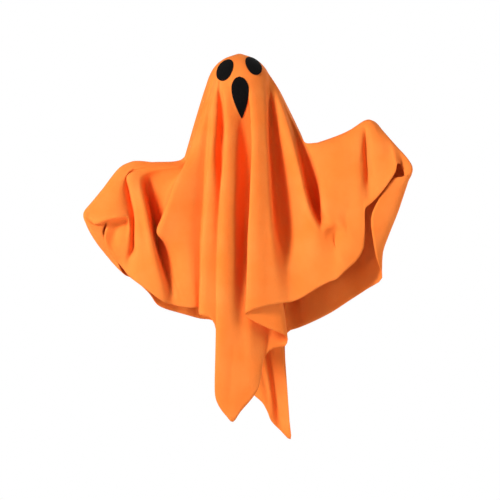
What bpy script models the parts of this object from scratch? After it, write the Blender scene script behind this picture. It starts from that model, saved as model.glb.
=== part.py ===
"""A hanging ghost decoration: a square of fabric draped over a ball head and a bent arm wire.

The origin is the hang point at the crown. +Z is up, -Y is the front, +X is the viewer's right.
Units are metres, except in the fold lines and wire routes, which are written in millimetres.
"""

import math

import bmesh
import bpy
import numpy as np
from mathutils import Vector
from mathutils.bvhtree import BVHTree

MM = 0.001

# The sheet
SHEET_THICKNESS = 0.0015
SHEET_LIFT = 0.0008
CROWN_HOLE_RADIUS = 0.0020
CROWN_PEAK = 0.0020
HEAD_ROWS = 5
HEAD_WRAP = math.radians(64)
LEAD = math.radians(13)
BODY_ROWS = 28

# The head
HEAD_RADIUS = 0.0500
HEAD_BORE_RADIUS = 0.0014
HEAD_POCKET_RADIUS = 0.0050
HEAD_POCKET_DEPTH = 0.0100

# The wires
ARM_WIRE_RADIUS = 0.0015
STEM_WIRE_RADIUS = 0.0010
STEM_EYE_RADIUS = 0.0028
STEM_TURNS = 3
STEM_EYE_SWEEP = math.radians(305)
CLEARANCE = 0.0003

# The face
FELT_THICKNESS = 0.0010
FELT_GAP = 0.0006
EYE_HEIGHT = 0.0440
EYE_WIDTH = 0.0300
LEFT_EYE_TURN = math.radians(44.6)
LEFT_EYE_ROLL = math.radians(-41.8)
LEFT_EYE_TWIST = math.radians(43)
RIGHT_EYE_TURN = math.radians(54)
RIGHT_EYE_ROLL = math.radians(34.2)
RIGHT_EYE_TWIST = math.radians(-27)
MOUTH_LENGTH = 0.0680
MOUTH_WIDTH = 0.0280
MOUTH_TOP = 0.0142
MOUTH_LEAN = math.radians(3)

# The sheet's mid surface rides this far above the ball
SKIN = SHEET_LIFT + SHEET_THICKNESS / 2
HEAD_CENTRE = Vector((0, 0, -CROWN_PEAK - SKIN - SHEET_THICKNESS / 2 - HEAD_RADIUS))

# Each fold line runs on the sheet from the crown to the hem: straight down the head to
# above its first point, and then through its points (x, y, z).
FOLD_LINES = {
    "front_tail_tip": ((-0.8, -51.5, -59.5), (0.8, -52, -83.9), (2.9, -52, -105.1),
        (3.3, -53, -141), (2.1, -57, -181.7), (0.8, -61, -230.6), (0.2, -66, -279.5),
        (-0.8, -72, -336.6), (-0.8, -80, -401.8), (-2.4, -86, -475.1), (-6.5, -85, -548.5),
        (-10.3, -82, -596.6)),
    "valley_bc": ((5.7, -51, -59.5), (7.3, -51, -83.9), (9.8, -49, -124.7), (9.9, -49, -157.3),
        (9, -50, -198), (8, -53, -246.9), (6.7, -58, -295.8), (5.7, -65, -344.7),
        (6.4, -75, -401.8), (6.5, -83, -467), (4.9, -84, -532.2), (2.4, -81, -579.5)),
    "under_c": ((10.6, -50, -59.5), (15.5, -49, -83.9), (17.8, -47, -124.7), (18.6, -48, -157.3),
        (17.4, -50, -198), (15.8, -53, -246.9), (13.2, -58, -295.8), (12.2, -64, -344.7),
        (14.7, -73, -401.8), (18.7, -80, -458.8), (20.4, -82, -515.9), (20.7, -80, -558.3)),
    "inner_1": ((11.9, -50, -59.5), (16, -49, -83.9), (19.1, -47, -124.7), (20, -46, -157.3),
        (19.7, -47, -198), (19.4, -49, -246.9), (20.4, -52, -295.8), (23.6, -56, -344.7),
        (30.2, -61, -401.8), (35, -66, -458.8), (35.9, -73, -499.6), (31.8, -76, -538.7)),
    "inner_2": ((13, -50, -59.5), (16.3, -49.5, -83.9), (20, -47, -124.7), (21.4, -45, -157.3),
        (22.3, -45, -198), (24, -46, -246.9), (28.5, -48, -295.8), (36.7, -51, -344.7),
        (44.8, -52, -401.8), (46.5, -52, -450.7), (39.1, -66, -496.3)),
    "inner_3": ((13.9, -50, -59.5), (16.6, -50, -83.9), (20.7, -48, -124.7), (22.3, -46, -157.3),
        (24.3, -45, -198), (27.5, -46, -246.9), (35, -47, -295.8), (46.5, -49, -344.7),
        (57.9, -48, -401.8), (61.1, -47, -442.5), (54.6, -57, -479.2)),
    "inner_fold": ((14.5, -50, -59.5), (17.1, -51, -83.9), (21.2, -51, -124.7),
        (23.3, -50, -157.3), (25.6, -50, -198), (29.5, -50, -246.9), (39.1, -51, -295.8),
        (53, -52, -344.7), (66.8, -50, -401.8), (72.5, -49, -442.5), (73.8, -55, -475.1)),
    "flap_fold": ((15.2, -50, -59.5), (17.4, -53, -83.9), (21, -56, -124.7), (23, -58, -157.3),
        (24.6, -60, -198), (27.9, -62, -246.9), (36.7, -64, -295.8), (50.5, -66, -344.7),
        (66.5, -68, -398.5), (71.7, -70, -431.1), (75, -72, -458.5)),
    "flap": ((15.8, -50, -59.5), (17.8, -55, -83.9), (20.4, -62, -124.7), (21.7, -67, -157.3),
        (21.4, -72, -198), (22, -76, -246.9), (27.7, -79, -295.8), (36.7, -81, -344.7),
        (44.8, -83, -401.8), (44, -84, -445)),
    "ridge_c_lip": ((16.5, -50, -59.5), (18.1, -57, -83.9), (19.4, -67, -124.7),
        (19.9, -77, -157.3), (18.4, -86, -198), (16.5, -92, -246.9), (13.9, -95, -295.8),
        (12.6, -96, -344.7), (11.2, -96, -385.5), (9, -95, -424.6)),
    "ridge_c": ((21.2, -49, -59.5), (23.6, -58, -83.9), (26.6, -70, -124.7), (27.5, -80, -157.3),
        (26.9, -89, -198), (26.6, -95, -246.9), (26.9, -98, -304), (27.4, -99, -361),
        (28.5, -97, -414.2)),
    "ridge_c_right": ((31, -44, -59.5), (34.2, -53, -83.9), (36.7, -65, -124.7),
        (38.3, -74, -157.3), (39.6, -83, -198), (41.2, -89, -246.9), (43.2, -92, -304),
        (45.2, -94, -361), (47.3, -93, -409.6)),
    "ridge_c_right_lip": ((39.6, -37, -59.5), (42.5, -45, -83.9), (44.2, -57, -124.7),
        (45.8, -66, -157.3), (48.1, -74, -198), (51.3, -80, -246.9), (54.9, -86, -295.8),
        (60.3, -89, -352.9), (67.6, -88, -406)),
    "valley_cd_left": ((44, -27, -59.5), (46.1, -26, -83.9), (47.4, -33, -124.7),
        (49.4, -34, -157.3), (53, -36, -198), (57.2, -41, -246.9), (63.6, -54, -295.8),
        (72.5, -70, -339.9), (77.4, -78, -372.5), (79.1, -84, -404.2)),
    "valley_cd": ((47.8, -20.5, -59.5), (51.3, -17, -82.3), (54.3, -24, -124.7),
        (57.5, -27, -157.3), (62.8, -29, -198), (70.1, -34, -246.9), (79.1, -46, -291),
        (85.6, -68, -339.9), (88.8, -76, -369.2), (89.6, -83, -401.5)),
    "valley_cd_right": ((50.7, -19, -59.5), (55.6, -23, -83.9), (61.5, -30, -124.7),
        (66.3, -35, -157.3), (73.8, -41, -198), (83.9, -50, -246.9), (93.7, -62, -291),
        (99.4, -72, -339.9), (101.9, -78, -369.2), (101.9, -83, -396.1)),
    "ridge_d_left": ((53.6, -17, -59.5), (60, -26, -83.9), (67.6, -40, -124.7),
        (74.2, -50, -157.3), (83.1, -60, -198), (95.4, -69, -246.9), (104.3, -75, -281.2),
        (110, -75, -308.9), (113.3, -77, -339.9), (114.9, -83, -387.9)),
    "ridge_d": ((56.6, -15.5, -59.5), (64.4, -28, -83.9), (74.2, -45, -124.7),
        (83.1, -58, -157.3), (93.7, -71, -198), (104.3, -81, -243.7), (113.3, -87, -271.4),
        (120.6, -84, -291), (125.5, -80, -315.4), (128, -80, -343.1), (128, -84, -379.8)),
    "ridge_d_right": ((58.8, -14, -59.5), (68.5, -26, -83.9), (80.7, -42, -121.4),
        (89.6, -54, -152.4), (98.6, -66, -189.9), (106.4, -75, -225.8), (113.6, -81, -251.8),
        (124.7, -88, -280.4), (132, -83, -297.5), (139.4, -80, -318.7), (143.4, -81, -341.5),
        (143.4, -85, -371.6)),
    "valley_de": ((60.5, -12.5, -59.5), (70.9, -20, -83.9), (83.9, -25, -118.2),
        (93.7, -28, -145.9), (100.9, -28, -170.3), (108.1, -29, -202.9), (114.9, -32, -232.3),
        (120.5, -40, -251.8), (126.7, -61, -268.9), (133.7, -86, -284.4), (140.2, -81, -299.1),
        (147.5, -80, -317), (154, -83, -336.6), (156.5, -87, -366.8)),
    "wing_lip_under": ((61.1, -11.5, -59.5), (72.5, -18, -83.9), (86.9, -23, -114.9),
        (99.4, -27, -142.6), (107.6, -30, -160.6), (116.5, -33, -183.4), (125.5, -38, -212.7),
        (129.6, -46, -237.2), (131.2, -56, -253.5), (133.3, -72, -268.1), (140.2, -86, -282),
        (147.5, -80, -291), (152.4, -80, -312.1), (160.6, -87, -336.6), (167.1, -88, -356.2)),
    "wing_lip": ((61.1, -11, -57.9), (73.5, -17, -83.9), (84.4, -22, -108.4), (96, -27, -129.6),
        (104, -34, -145.1), (110.8, -46, -157.3), (119.5, -54, -176.9), (128, -63, -206.2),
        (131.7, -71, -230.6), (133.2, -78, -248.6), (137.7, -84, -261.6), (148.3, -88, -275.5),
        (156.5, -79, -291), (154, -79, -308.9), (163.8, -89, -331.7), (177.7, -89, -346.9)),
    "wing_1": ((61.5, -8.9, -57.9), (74, -14.6, -83.9), (85.1, -19.6, -108.4),
        (96.4, -24.9, -129.6), (104.8, -36, -145.6), (114.9, -50, -154), (128, -60, -173.6),
        (139.4, -70, -202.9), (145.1, -79, -233.9), (150, -85, -256.7), (158.1, -89, -273),
        (168.7, -89, -291.8), (166.3, -87, -308.9), (173.6, -90, -325.2), (189.1, -90, -335.8)),
    "wing_2": ((61.9, -6.8, -57.9), (74.5, -12.2, -83.9), (85.7, -17.2, -108.4),
        (96.8, -22.8, -129.6), (105.5, -37, -145.9), (119.8, -51, -151.6), (141, -63, -167.1),
        (154, -74, -198), (159.7, -81, -230.6), (163.8, -86, -255.1), (169.5, -87, -269.8),
        (176.9, -91, -291), (183.4, -92, -308.9), (198, -91, -320.3)),
    "wing_3": ((62.2, -4.7, -57.9), (75, -9.8, -83.9), (86.3, -14.8, -108.4),
        (97.2, -20.7, -129.6), (105.9, -37, -146.4), (123.1, -50, -149.1), (152.4, -64, -158.9),
        (172, -76, -186.6), (177.7, -83, -222.5), (180.1, -88, -251.8), (183.4, -91, -274.7),
        (191.5, -93, -295.8), (200.7, -92, -304)),
    "wing_4": ((62.5, -2.9, -57.9), (75.4, -7.7, -83.9), (86.9, -12.7, -108.4),
        (97.5, -18.9, -129.6), (106.4, -37, -146.9), (126.3, -49, -147.5), (160.6, -63, -150),
        (185, -76, -173.6), (191.5, -84, -206.2), (194, -90, -238.8), (196.4, -93, -263.2),
        (201.3, -94, -281.2)),
    "wing_valley_left": ((62.8, -1.5, -57.9), (75.7, -6.1, -83.9), (87.3, -11.1, -108.4),
        (97.8, -17.5, -129.6), (106.8, -37, -147.4), (128, -47, -146.9), (165.4, -60, -141.8),
        (193.2, -72, -142.6), (198, -74, -170.3), (200.5, -80, -202.9), (199.7, -88, -230.6),
        (201.3, -94, -255.1)),
    "wing_valley": ((63, -0.4, -57.9), (76, -4.8, -83.9), (87.7, -9.8, -108.4),
        (98, -16.4, -129.6), (107.1, -37, -147.7), (129.6, -46, -146.4), (167.1, -58, -137.1),
        (198.9, -64, -124.7), (203.3, -65, -144.3), (204.6, -65, -168.7), (207, -72, -199.7),
        (209.5, -83, -222.5), (211.1, -95, -245.3)),
    "wing_5": ((63.2, 0.6, -57.9), (76.2, -3.7, -83.9), (88, -8.7, -108.4), (98.2, -15.4, -129.6),
        (107.4, -37, -148.2), (131.2, -45, -145.9), (168.7, -56, -134.5), (201.3, -64, -119),
        (210.3, -74, -136.1), (213.5, -80, -165.4), (217.6, -87, -198), (222.5, -97, -233.9)),
    "wing_6": ((63.3, 1.5, -57.9), (76.4, -2.8, -83.9), (88.2, -7.8, -108.4),
        (98.3, -14.5, -129.6), (107.7, -36, -148.5), (131.2, -44, -145.7), (170.3, -54, -132.5),
        (204.6, -63, -114.9), (219.2, -74, -129.6), (228.2, -84, -158.9), (233.1, -91, -185),
        (235.5, -100, -217.6)),
    "wing_7": ((63.4, 2.2, -57.9), (76.6, -2, -83.9), (88.4, -7, -108.4), (98.5, -13.8, -129.6),
        (108.1, -36, -148.8), (131.2, -43, -145.6), (172, -52, -131.2), (206.2, -61, -112.3),
        (224.9, -71, -128.6), (238.8, -82, -154), (245.3, -93, -175.2), (249.1, -103, -196.4)),
    "hand_hem": ((63.5, 2.6, -57.9), (76.7, -1.5, -83.9), (88.5, -6.5, -108.4),
        (98.5, -13.4, -129.6), (108.4, -35, -149.1), (131.2, -42, -145.4), (172, -50, -130.7),
        (207, -59, -111.3), (228.2, -68, -128.3), (242.1, -78, -146.7), (247.8, -90, -162.2),
        (252.6, -103, -182.6)),
    "right_arm": ((63.6, 3, -57.9), (76.8, -1, -83.9), (88.7, -6, -108.4), (98.6, -13, -129.6),
        (108.9, -34, -149.5), (131.2, -40, -145.2), (172, -48, -130.2), (208.6, -56, -110.7),
        (229.8, -65, -127.6), (248.6, -77, -150), (259.2, -86, -163.8), (260, -90, -184.2)),
    "hand": ((63.4, 6, -57.9), (76.4, 3, -83.9), (88, -2, -108.4), (98.3, -9, -129.6),
        (109.2, -29, -149.6), (131.2, -36, -145.4), (172, -44, -130.6), (210.3, -51, -110.8),
        (231.5, -60, -128.8), (251.8, -72, -152.9), (268.1, -84, -172), (277.1, -97, -187.4),
        (271.4, -100, -197.2), (264.1, -98, -202.1)),
    "hand_back": ((63.1, 10, -57.9), (75.6, 8, -83.9), (86.9, 4, -108.4), (97.5, -3, -131.2),
        (110, -22, -150.8), (131.2, -30, -146.7), (172, -38, -132.2), (210.3, -44, -112.6),
        (231.5, -53, -130.4), (251.8, -64, -154.5), (269.8, -77, -176), (277.9, -90, -191.2),
        (268.1, -98, -207.8), (247.8, -97, -205.4)),
    "strip_1": ((62.1, 13, -57.9), (74.2, 13, -83.9), (84.9, 10, -108.4), (95.8, 4, -134.5),
        (110.8, -14, -154), (134.5, -22, -152.4), (172, -29, -139.4), (206.2, -34, -121.4),
        (227.4, -43, -139.4), (246.9, -54, -162.2), (264.9, -68, -185), (273.5, -82, -199.7),
        (262.4, -94, -220.9), (233.1, -95, -224.9)),
    "strip_2": ((60.5, 16, -57.9), (71.9, 18, -83.9), (82.3, 16, -108.4), (93.4, 10, -137.7),
        (111.7, -8, -160.6), (139.4, -13, -162.2), (172, -19, -152.4), (201.3, -24, -137.7),
        (220, -31, -155.7), (239.6, -40, -178.5), (256.7, -55, -202.9), (265.7, -74, -222.5),
        (254.3, -90, -245.3), (219.2, -92, -246.9)),
    "strip_3": ((58.2, 20, -57.9), (69.3, 23, -83.9), (79.1, 22, -110), (91.8, 16, -142.6),
        (113.3, 0, -168.7), (144.3, -4, -173.6), (172, -9, -167.1), (194.8, -13, -157.3),
        (212.7, -19, -175.2), (230.6, -26, -199.7), (246.1, -40, -225.8), (255.9, -62, -248.6),
        (246.9, -84, -270.6), (211.1, -90, -270.6)),
    "strip_4": ((55.6, 23.5, -57.9), (66, 27, -83.9), (75.8, 28, -111.7), (90.1, 23, -147.5),
        (114.9, 8, -176.9), (145.9, 4, -186.6), (168.7, 0, -185), (187.4, -4, -180.1),
        (203.8, -8, -199.7), (220, -15, -225.8), (234.7, -30, -255.1), (244.5, -52, -277.9),
        (238, -78, -297.5), (214.7, -88, -304)),
    "strip_5": ((52.6, 27, -57.9), (62.4, 31.5, -83.9), (71.7, 33, -113.3), (88, 28, -152.4),
        (114.9, 16, -186.6), (144.3, 12, -201.3), (163.8, 8, -204.6), (179.3, 6, -204.6),
        (194, 2, -225.8), (207.8, -6, -253.5), (221.7, -22, -286.1), (231.5, -48, -308.9),
        (229.8, -72, -326.8), (220, -82, -331.7)),
    "right_corner": ((50.2, 28, -57.9), (59.5, 33, -83.9), (68.5, 36, -114.9), (84.8, 35, -157.3),
        (113.3, 24, -196.4), (139.4, 19, -216), (157.3, 16, -224.1), (171.1, 13, -230.6),
        (184.2, 8, -253.5), (196.4, 1, -281.2), (209.5, -14, -313.8), (222.5, -42, -339.9),
        (229.8, -66, -365.1)),
    "right_back_1": ((46.5, 32, -57.9), (55.1, 38, -83.9), (63.6, 42, -114.9), (80.7, 43, -160.6),
        (108.4, 33, -206.2), (132.8, 27, -232.3), (149.1, 23, -248.6), (162.2, 19, -261.6),
        (172.8, 14, -284.4), (183.4, 6, -313.8), (196.4, -12, -349.6), (207, -38, -383)),
    "right_back_2": ((42.4, 36, -57.9), (49.7, 42, -83.9), (57.9, 47, -114.9), (75, 44, -163.8),
        (101.9, 30, -216), (123.1, 22, -248.6), (137.7, 18, -274.7), (149.1, 14, -300.7),
        (158.9, 8, -330.1), (167.1, -2, -359.4), (179.3, -20, -401.8)),
    "right_back_3": ((38, 39, -57.9), (44, 46, -83.9), (51.3, 52, -114.9), (66.8, 56, -163.8),
        (90.5, 50, -219.2), (108.4, 46, -258.4), (121.4, 42, -294.2), (131.2, 36, -330.1),
        (139.4, 24, -369.2), (149.1, 4, -422.3)),
    "right_back_4": ((33.1, 42, -57.9), (38, 49, -83.9), (44, 53, -114.9), (57.9, 46, -163.8),
        (79.1, 30, -222.5), (94.5, 24, -264.9), (105.1, 22, -307.3), (113.3, 22, -352.9),
        (119, 22, -438.1)),
    "back_ridge_1": ((27.7, 45, -57.9), (31.5, 52, -83.9), (36.7, 60, -114.9), (48.9, 70, -163.8),
        (66.8, 76, -222.5), (80.7, 80, -271.4), (88.8, 80, -320.3), (94.5, 70, -377.3),
        (97, 40, -447.8)),
    "back_valley_1": ((22, 47, -57.9), (24.9, 52, -83.9), (29, 52, -114.9), (39.1, 42, -163.8),
        (53.8, 34, -222.5), (66, 32, -274.7), (74.2, 36, -328.4), (78.2, 44, -385.5),
        (78.7, 52, -456.2)),
    "tail_side": ((16.3, 49, -57.9), (18.4, 55, -83.9), (21.4, 65, -114.9), (29.3, 78, -163.8),
        (40.8, 86, -222.5), (52.2, 90, -279.5), (62.8, 86, -339.9), (69.3, 76, -401.8),
        (74.2, 62, -483.3)),
    "tail_edge": ((11.4, 50, -57.9), (12.7, 54, -83.9), (14.7, 54, -114.9), (20.4, 46, -163.8),
        (29.3, 38, -222.5), (39.9, 36, -284.4), (51.3, 42, -349.6), (63.6, 54, -421.4),
        (72.5, 62, -483.3), (77.9, 62, -542)),
    "tail_right": ((7.3, 51, -57.9), (8, 57, -83.9), (9, 66, -114.9), (13, 80, -163.8),
        (20.4, 88, -222.5), (30.2, 92, -287.7), (43.2, 86, -361), (59.5, 68, -434.4),
        (68.6, 66, -502.9), (76.6, 65, -561.5), (82, 64, -600.7)),
    "back_tail_tip": ((3.7, 51.5, -57.9), (3.7, 55, -83.9), (4.1, 55, -114.9), (6.7, 47, -163.8),
        (12.2, 39, -222.5), (21.2, 38, -291), (35, 46, -369.2), (51.3, 70, -450.7),
        (62.1, 77, -524), (71.9, 75, -581.1), (83.9, 64, -632.1)),
    "tail_fold": ((0, 51.8, -57.9), (-0.3, 57, -83.9), (-0.8, 67, -114.9), (0, 82, -163.8),
        (3.3, 90, -222.5), (10.6, 94, -291), (23.6, 92, -372.5), (42.4, 86, -454),
        (54.6, 84, -528.9), (61.9, 82, -581.1), (67.6, 77, -618.6)),
    "tail_left_1": ((-3.7, 51.8, -57.9), (-4.7, 55, -83.9), (-5.7, 55, -114.9),
        (-6.8, 47, -163.8), (-5.7, 39, -222.5), (0, 38, -291), (12.2, 46, -372.5),
        (31.5, 66, -454), (45.8, 71, -528.9), (53, 72, -572.9), (52.2, 70, -602.3)),
    "tail_left_2": ((-7.3, 51.5, -57.9), (-9, 57, -83.9), (-10.6, 67, -114.9),
        (-13.4, 82, -163.8), (-14.2, 90, -222.5), (-10.6, 94, -291), (0.8, 92, -372.5),
        (18.7, 84, -450.7), (35, 76, -515.9), (44, 72, -556.6), (45.6, 70, -586.8)),
    "back_valley_2": ((-11.4, 51, -57.9), (-13.9, 54, -83.9), (-16.3, 54, -114.9),
        (-20.7, 46, -163.8), (-23.6, 38, -222.5), (-22, 36, -291), (-12.2, 42, -372.5),
        (4.1, 56, -444.2), (20.4, 66, -502.9), (36.7, 70, -571.3)),
    "back_ridge_2": ((-15.8, 50, -57.9), (-18.7, 56, -83.9), (-22, 65, -114.9),
        (-27.7, 80, -163.8), (-32.6, 88, -222.5), (-33.4, 92, -291), (-26.1, 90, -369.2),
        (-12.2, 84, -437.7), (2.4, 78, -491.4), (20.4, 74, -556.6)),
    "back_valley_3": ((-20.7, 48, -57.9), (-24.4, 52, -83.9), (-28.5, 52, -114.9),
        (-35.9, 44, -163.8), (-42.4, 38, -222.5), (-44.8, 36, -291), (-39.9, 42, -365.9),
        (-29.3, 54, -426.2), (-17.1, 64, -475.1), (-2.4, 72, -527.3)),
    "back_ridge_3": ((-25.6, 46, -57.9), (-30.2, 52, -83.9), (-35, 60, -114.9), (-44, 72, -163.8),
        (-52.2, 80, -222.5), (-56.2, 84, -291), (-53.8, 82, -361), (-48.1, 78, -401.8),
        (-39.9, 76, -431.1), (-30.2, 74, -457.2)),
    "back_valley_4": ((-30.6, 43, -57.9), (-36.2, 47, -83.9), (-41.9, 48, -114.9),
        (-52.2, 42, -163.8), (-61.9, 36, -222.5), (-67.6, 36, -291), (-67.6, 42, -352.9),
        (-57.9, 52, -401.8), (-44, 64, -436.8)),
    "back_ridge_4": ((-35.5, 39, -57.9), (-42.1, 43, -83.9), (-48.9, 50, -114.9),
        (-60.3, 60, -163.8), (-71.7, 66, -222.5), (-79.9, 70, -287.7), (-82.3, 68, -343.1),
        (-79.1, 66, -385.5), (-64.4, 66, -433.6)),
    "back_valley_5": ((-40.3, 35, -57.9), (-47.6, 38, -83.9), (-55.1, 40, -114.9),
        (-67.6, 38, -163.8), (-81.5, 34, -222.5), (-92.1, 34, -284.4), (-97, 38, -333.3),
        (-95.4, 44, -369.2), (-83.9, 56, -428.2)),
    "left_back_4": ((-44.3, 30, -57.9), (-52.5, 32, -83.9), (-61.1, 36, -116.5),
        (-75, 42, -163.8), (-91.3, 46, -222.5), (-105.1, 50, -279.5), (-111.7, 52, -320.3),
        (-110.8, 54, -352.9), (-103.5, 52, -422.5)),
    "left_back_3": ((-48.1, 25, -57.9), (-56.6, 26, -83.9), (-66, 26, -118.2),
        (-80.7, 24, -163.8), (-101.1, 24, -219.2), (-117.4, 28, -271.4), (-125.5, 30, -307.3),
        (-126.3, 32, -339.9), (-121.4, 36, -416.8)),
    "left_back_2": ((-51, 19, -57.9), (-59.8, 19, -83.9), (-70.1, 17, -119.8),
        (-83.9, 12, -163.8), (-111.7, 16, -212.7), (-131.2, 24, -260), (-140.2, 28, -292.6),
        (-141.8, 30, -323.6), (-135.3, 26, -409.1)),
    "left_back_1": ((-53, 13, -57.9), (-61.8, 12, -83.9), (-72.9, 7, -121.4), (-86.4, -3, -165.4),
        (-121.4, 0, -206.2), (-145.1, 6, -248.6), (-155.7, 10, -279.5), (-158.9, 12, -308.9),
        (-145.9, 10, -392.8)),
    "left_corner_2": ((-54.3, 8, -57.9), (-63.1, 6, -83.9), (-74.5, -1, -123.1),
        (-87.5, -14, -167.1), (-129.6, -15, -199.7), (-158.9, -12, -235.5), (-171.1, -9, -263.2),
        (-176, -9, -295.8), (-158.9, -8, -379)),
    "left_corner": ((-54.9, 4, -57.9), (-63.7, 1, -83.9), (-75.3, -7, -123.9),
        (-88.3, -22, -168.7), (-134.5, -27, -193.2), (-169.5, -28, -220.9), (-185, -27, -250.2),
        (-193.2, -29, -286.1), (-188.3, -32, -330.1), (-173.6, -30, -365.9)),
    "cuff_1": ((-55.3, 1, -57.9), (-64.1, -2, -83.9), (-75.6, -11, -124.7), (-88.8, -28, -170.3),
        (-137.7, -36, -186.6), (-176.9, -40, -207.8), (-197.2, -42, -238.8),
        (-211.9, -46, -277.9), (-213.5, -52, -313.8), (-201.3, -56, -343.1),
        (-187.4, -62, -357.8)),
    "cuff_2": ((-55.4, 0, -57.9), (-64.1, -4, -83.9), (-75.8, -14, -124.7), (-89.2, -32, -171.1),
        (-141, -43, -182.6), (-180.9, -49, -197.2), (-206.2, -54, -229), (-227.4, -58, -264.9),
        (-232.3, -62, -294.2), (-220.9, -70, -320.3), (-198.4, -74, -334.6)),
    "cuff_3": ((-55.4, -2, -56.2), (-64.1, -5, -83.9), (-76, -17, -124.7), (-89.3, -35, -171.6),
        (-142.6, -48, -180.1), (-182.6, -56, -190.7), (-211.1, -64, -222.5),
        (-236.3, -72, -253.5), (-245.3, -78, -273), (-233.9, -86, -300.7), (-209.1, -84, -316.2)),
    "cuff_4": ((-55.4, -2.5, -56.2), (-64.1, -6, -83.9), (-76, -18, -124.7), (-89.5, -36, -172),
        (-143.4, -52, -179.1), (-183.4, -60, -186.6), (-213.5, -70, -220), (-240.4, -80, -251.8),
        (-248.6, -90, -264.9), (-241.2, -95, -284.4), (-215.6, -90, -301.5)),
    "left_arm": ((-55.4, -3, -56.2), (-64.1, -7, -83.9), (-76, -19, -124.7), (-84.9, -31, -157.3),
        (-89.6, -37, -172), (-97, -42, -177.2), (-129.6, -52, -179.5), (-162.2, -60, -176.9),
        (-176.9, -64, -179.3), (-194.8, -70, -189.9), (-220.9, -80, -224.1),
        (-240.4, -90, -250.2), (-248.6, -98, -263.2), (-242.1, -100, -277.9),
        (-218.4, -92, -289.3)),
    "forearm_1": ((-54.9, -4.8, -56.2), (-63.4, -8.9, -83.9), (-75.3, -21.1, -124.7),
        (-84.4, -33, -157.3), (-89.5, -40, -173.6), (-97, -45, -178.5), (-129.6, -55, -181.4),
        (-160.6, -63, -180.9), (-176.9, -69, -185), (-193.2, -76, -198), (-216, -87, -233.9),
        (-230.6, -96, -260), (-232.3, -101, -276.3), (-229, -95, -279.5), (-216, -93, -281.2)),
    "forearm_2": ((-54.4, -6.5, -56.2), (-62.8, -10.8, -83.9), (-74.7, -23.2, -124.7),
        (-84, -35, -157.3), (-89.2, -42, -174.9), (-97, -48, -179.8), (-129.6, -57, -183),
        (-158.9, -65, -183.4), (-176, -72, -189.1), (-191.5, -79, -206.2), (-207.8, -90, -238.8),
        (-214.3, -99, -261.6), (-213.5, -104, -271.4), (-212.7, -93, -274.3),
        (-212.1, -86, -277.9)),
    "forearm_3": ((-53.9, -8.3, -56.2), (-62.1, -12.8, -83.9), (-74, -25.2, -124.7),
        (-83.5, -37, -157.3), (-88.8, -44, -176), (-97, -50, -180.9), (-129.6, -59, -184.4),
        (-158.1, -66, -185), (-175.6, -73, -191.5), (-189.9, -81, -212.7), (-198, -91, -242.1),
        (-201.3, -99, -261.6), (-201.3, -104, -269.3), (-201.3, -88, -273), (-207.8, -89, -284.4),
        (-216.6, -96, -298.3)),
    "forearm_4": ((-53.3, -10, -56.2), (-61.5, -14.7, -83.9), (-73.4, -27.3, -124.7),
        (-83, -39, -157.3), (-88.5, -46, -177.2), (-97, -52, -182.1), (-129.6, -60, -185.3),
        (-157.3, -67, -186.6), (-176.9, -73, -194), (-187.4, -80, -217.6), (-189.1, -88, -243.7),
        (-189.9, -95, -260), (-189.9, -102, -267.8), (-189.9, -86, -272.4), (-198.9, -85, -292.6),
        (-207, -91, -310.5), (-211.4, -95, -318)),
    "forearm_5": ((-52.8, -11.8, -56.2), (-60.9, -16.6, -83.9), (-72.8, -29.4, -124.7),
        (-82.5, -41, -157.3), (-88.2, -47, -178.2), (-97, -54, -183), (-129.6, -61, -186.3),
        (-157.3, -68, -188.3), (-178.5, -72, -195.6), (-184.2, -76, -220.9),
        (-180.9, -80, -245.3), (-179.3, -86, -260), (-179.3, -94, -267.5), (-179.8, -84, -273),
        (-189.1, -91, -295.8), (-195.6, -91, -317), (-201, -87, -334.1)),
    "curl": ((-52.3, -13.6, -56.2), (-60.2, -18.5, -83.9), (-72.1, -31.5, -124.7),
        (-82, -43, -157.3), (-87.9, -48, -179.1), (-97, -55, -184), (-129.6, -62, -187.3),
        (-157.3, -68, -189.9), (-177.7, -70, -196.4), (-185.8, -69, -201.3),
        (-180.1, -67, -220.9), (-175.6, -69, -240.4), (-171.5, -73, -258.4),
        (-169.5, -78, -274.7), (-176.9, -93, -297.5), (-180.1, -92, -317), (-186.6, -87, -333.3),
        (-189.1, -81, -347.2)),
    "curl_under": ((-51.8, -15.1, -56.2), (-59.7, -20.2, -83.9), (-71.6, -33.3, -124.7),
        (-81.6, -44.8, -157.3), (-87.5, -49, -180.1), (-97, -56, -185), (-129.6, -62, -188.3),
        (-156.5, -68, -191.5), (-175.2, -72, -196.4), (-182.6, -71, -203.8),
        (-178.2, -69, -220.9), (-173.9, -71, -240.4), (-170, -74, -258.4), (-168.1, -78, -274.7),
        (-168.7, -78, -297.5), (-169.4, -77, -314.6), (-176, -84, -330.1), (-178.5, -85, -346.4),
        (-178.5, -83, -361)),
    "strip_lip": ((-51.4, -16.6, -56.2), (-59.1, -21.9, -83.9), (-71, -35.1, -124.7),
        (-81.2, -46.5, -157.3), (-87.2, -50, -181.1), (-97, -57, -186), (-128, -62, -189.2),
        (-155.7, -68, -193.2), (-172.8, -75, -197.2), (-179.3, -78, -206.2), (-176, -80, -220.9),
        (-172, -83, -240.4), (-168.1, -86, -260), (-166.4, -90, -277.9), (-166.6, -92, -299.1),
        (-166.1, -92, -318.7), (-167.1, -93, -339.9), (-166.3, -92, -370.8)),
    "strip": ((-50.9, -18.2, -56.2), (-58.5, -23.6, -83.9), (-70.4, -36.9, -124.7),
        (-80.8, -48.2, -157.3), (-86.9, -51, -182.1), (-97, -57, -187.1), (-126.3, -62, -190.5),
        (-152.4, -67, -194.8), (-164.6, -74, -202.1), (-165.4, -82, -222.5),
        (-160.6, -88, -250.2), (-155.7, -92, -281.2), (-151.6, -95, -312.1),
        (-147.5, -96, -343.1), (-144.3, -93, -387.1)),
    "strip_slope": ((-50.5, -19.7, -56.2), (-58, -25.2, -83.9), (-69.9, -38.8, -124.7),
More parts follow.
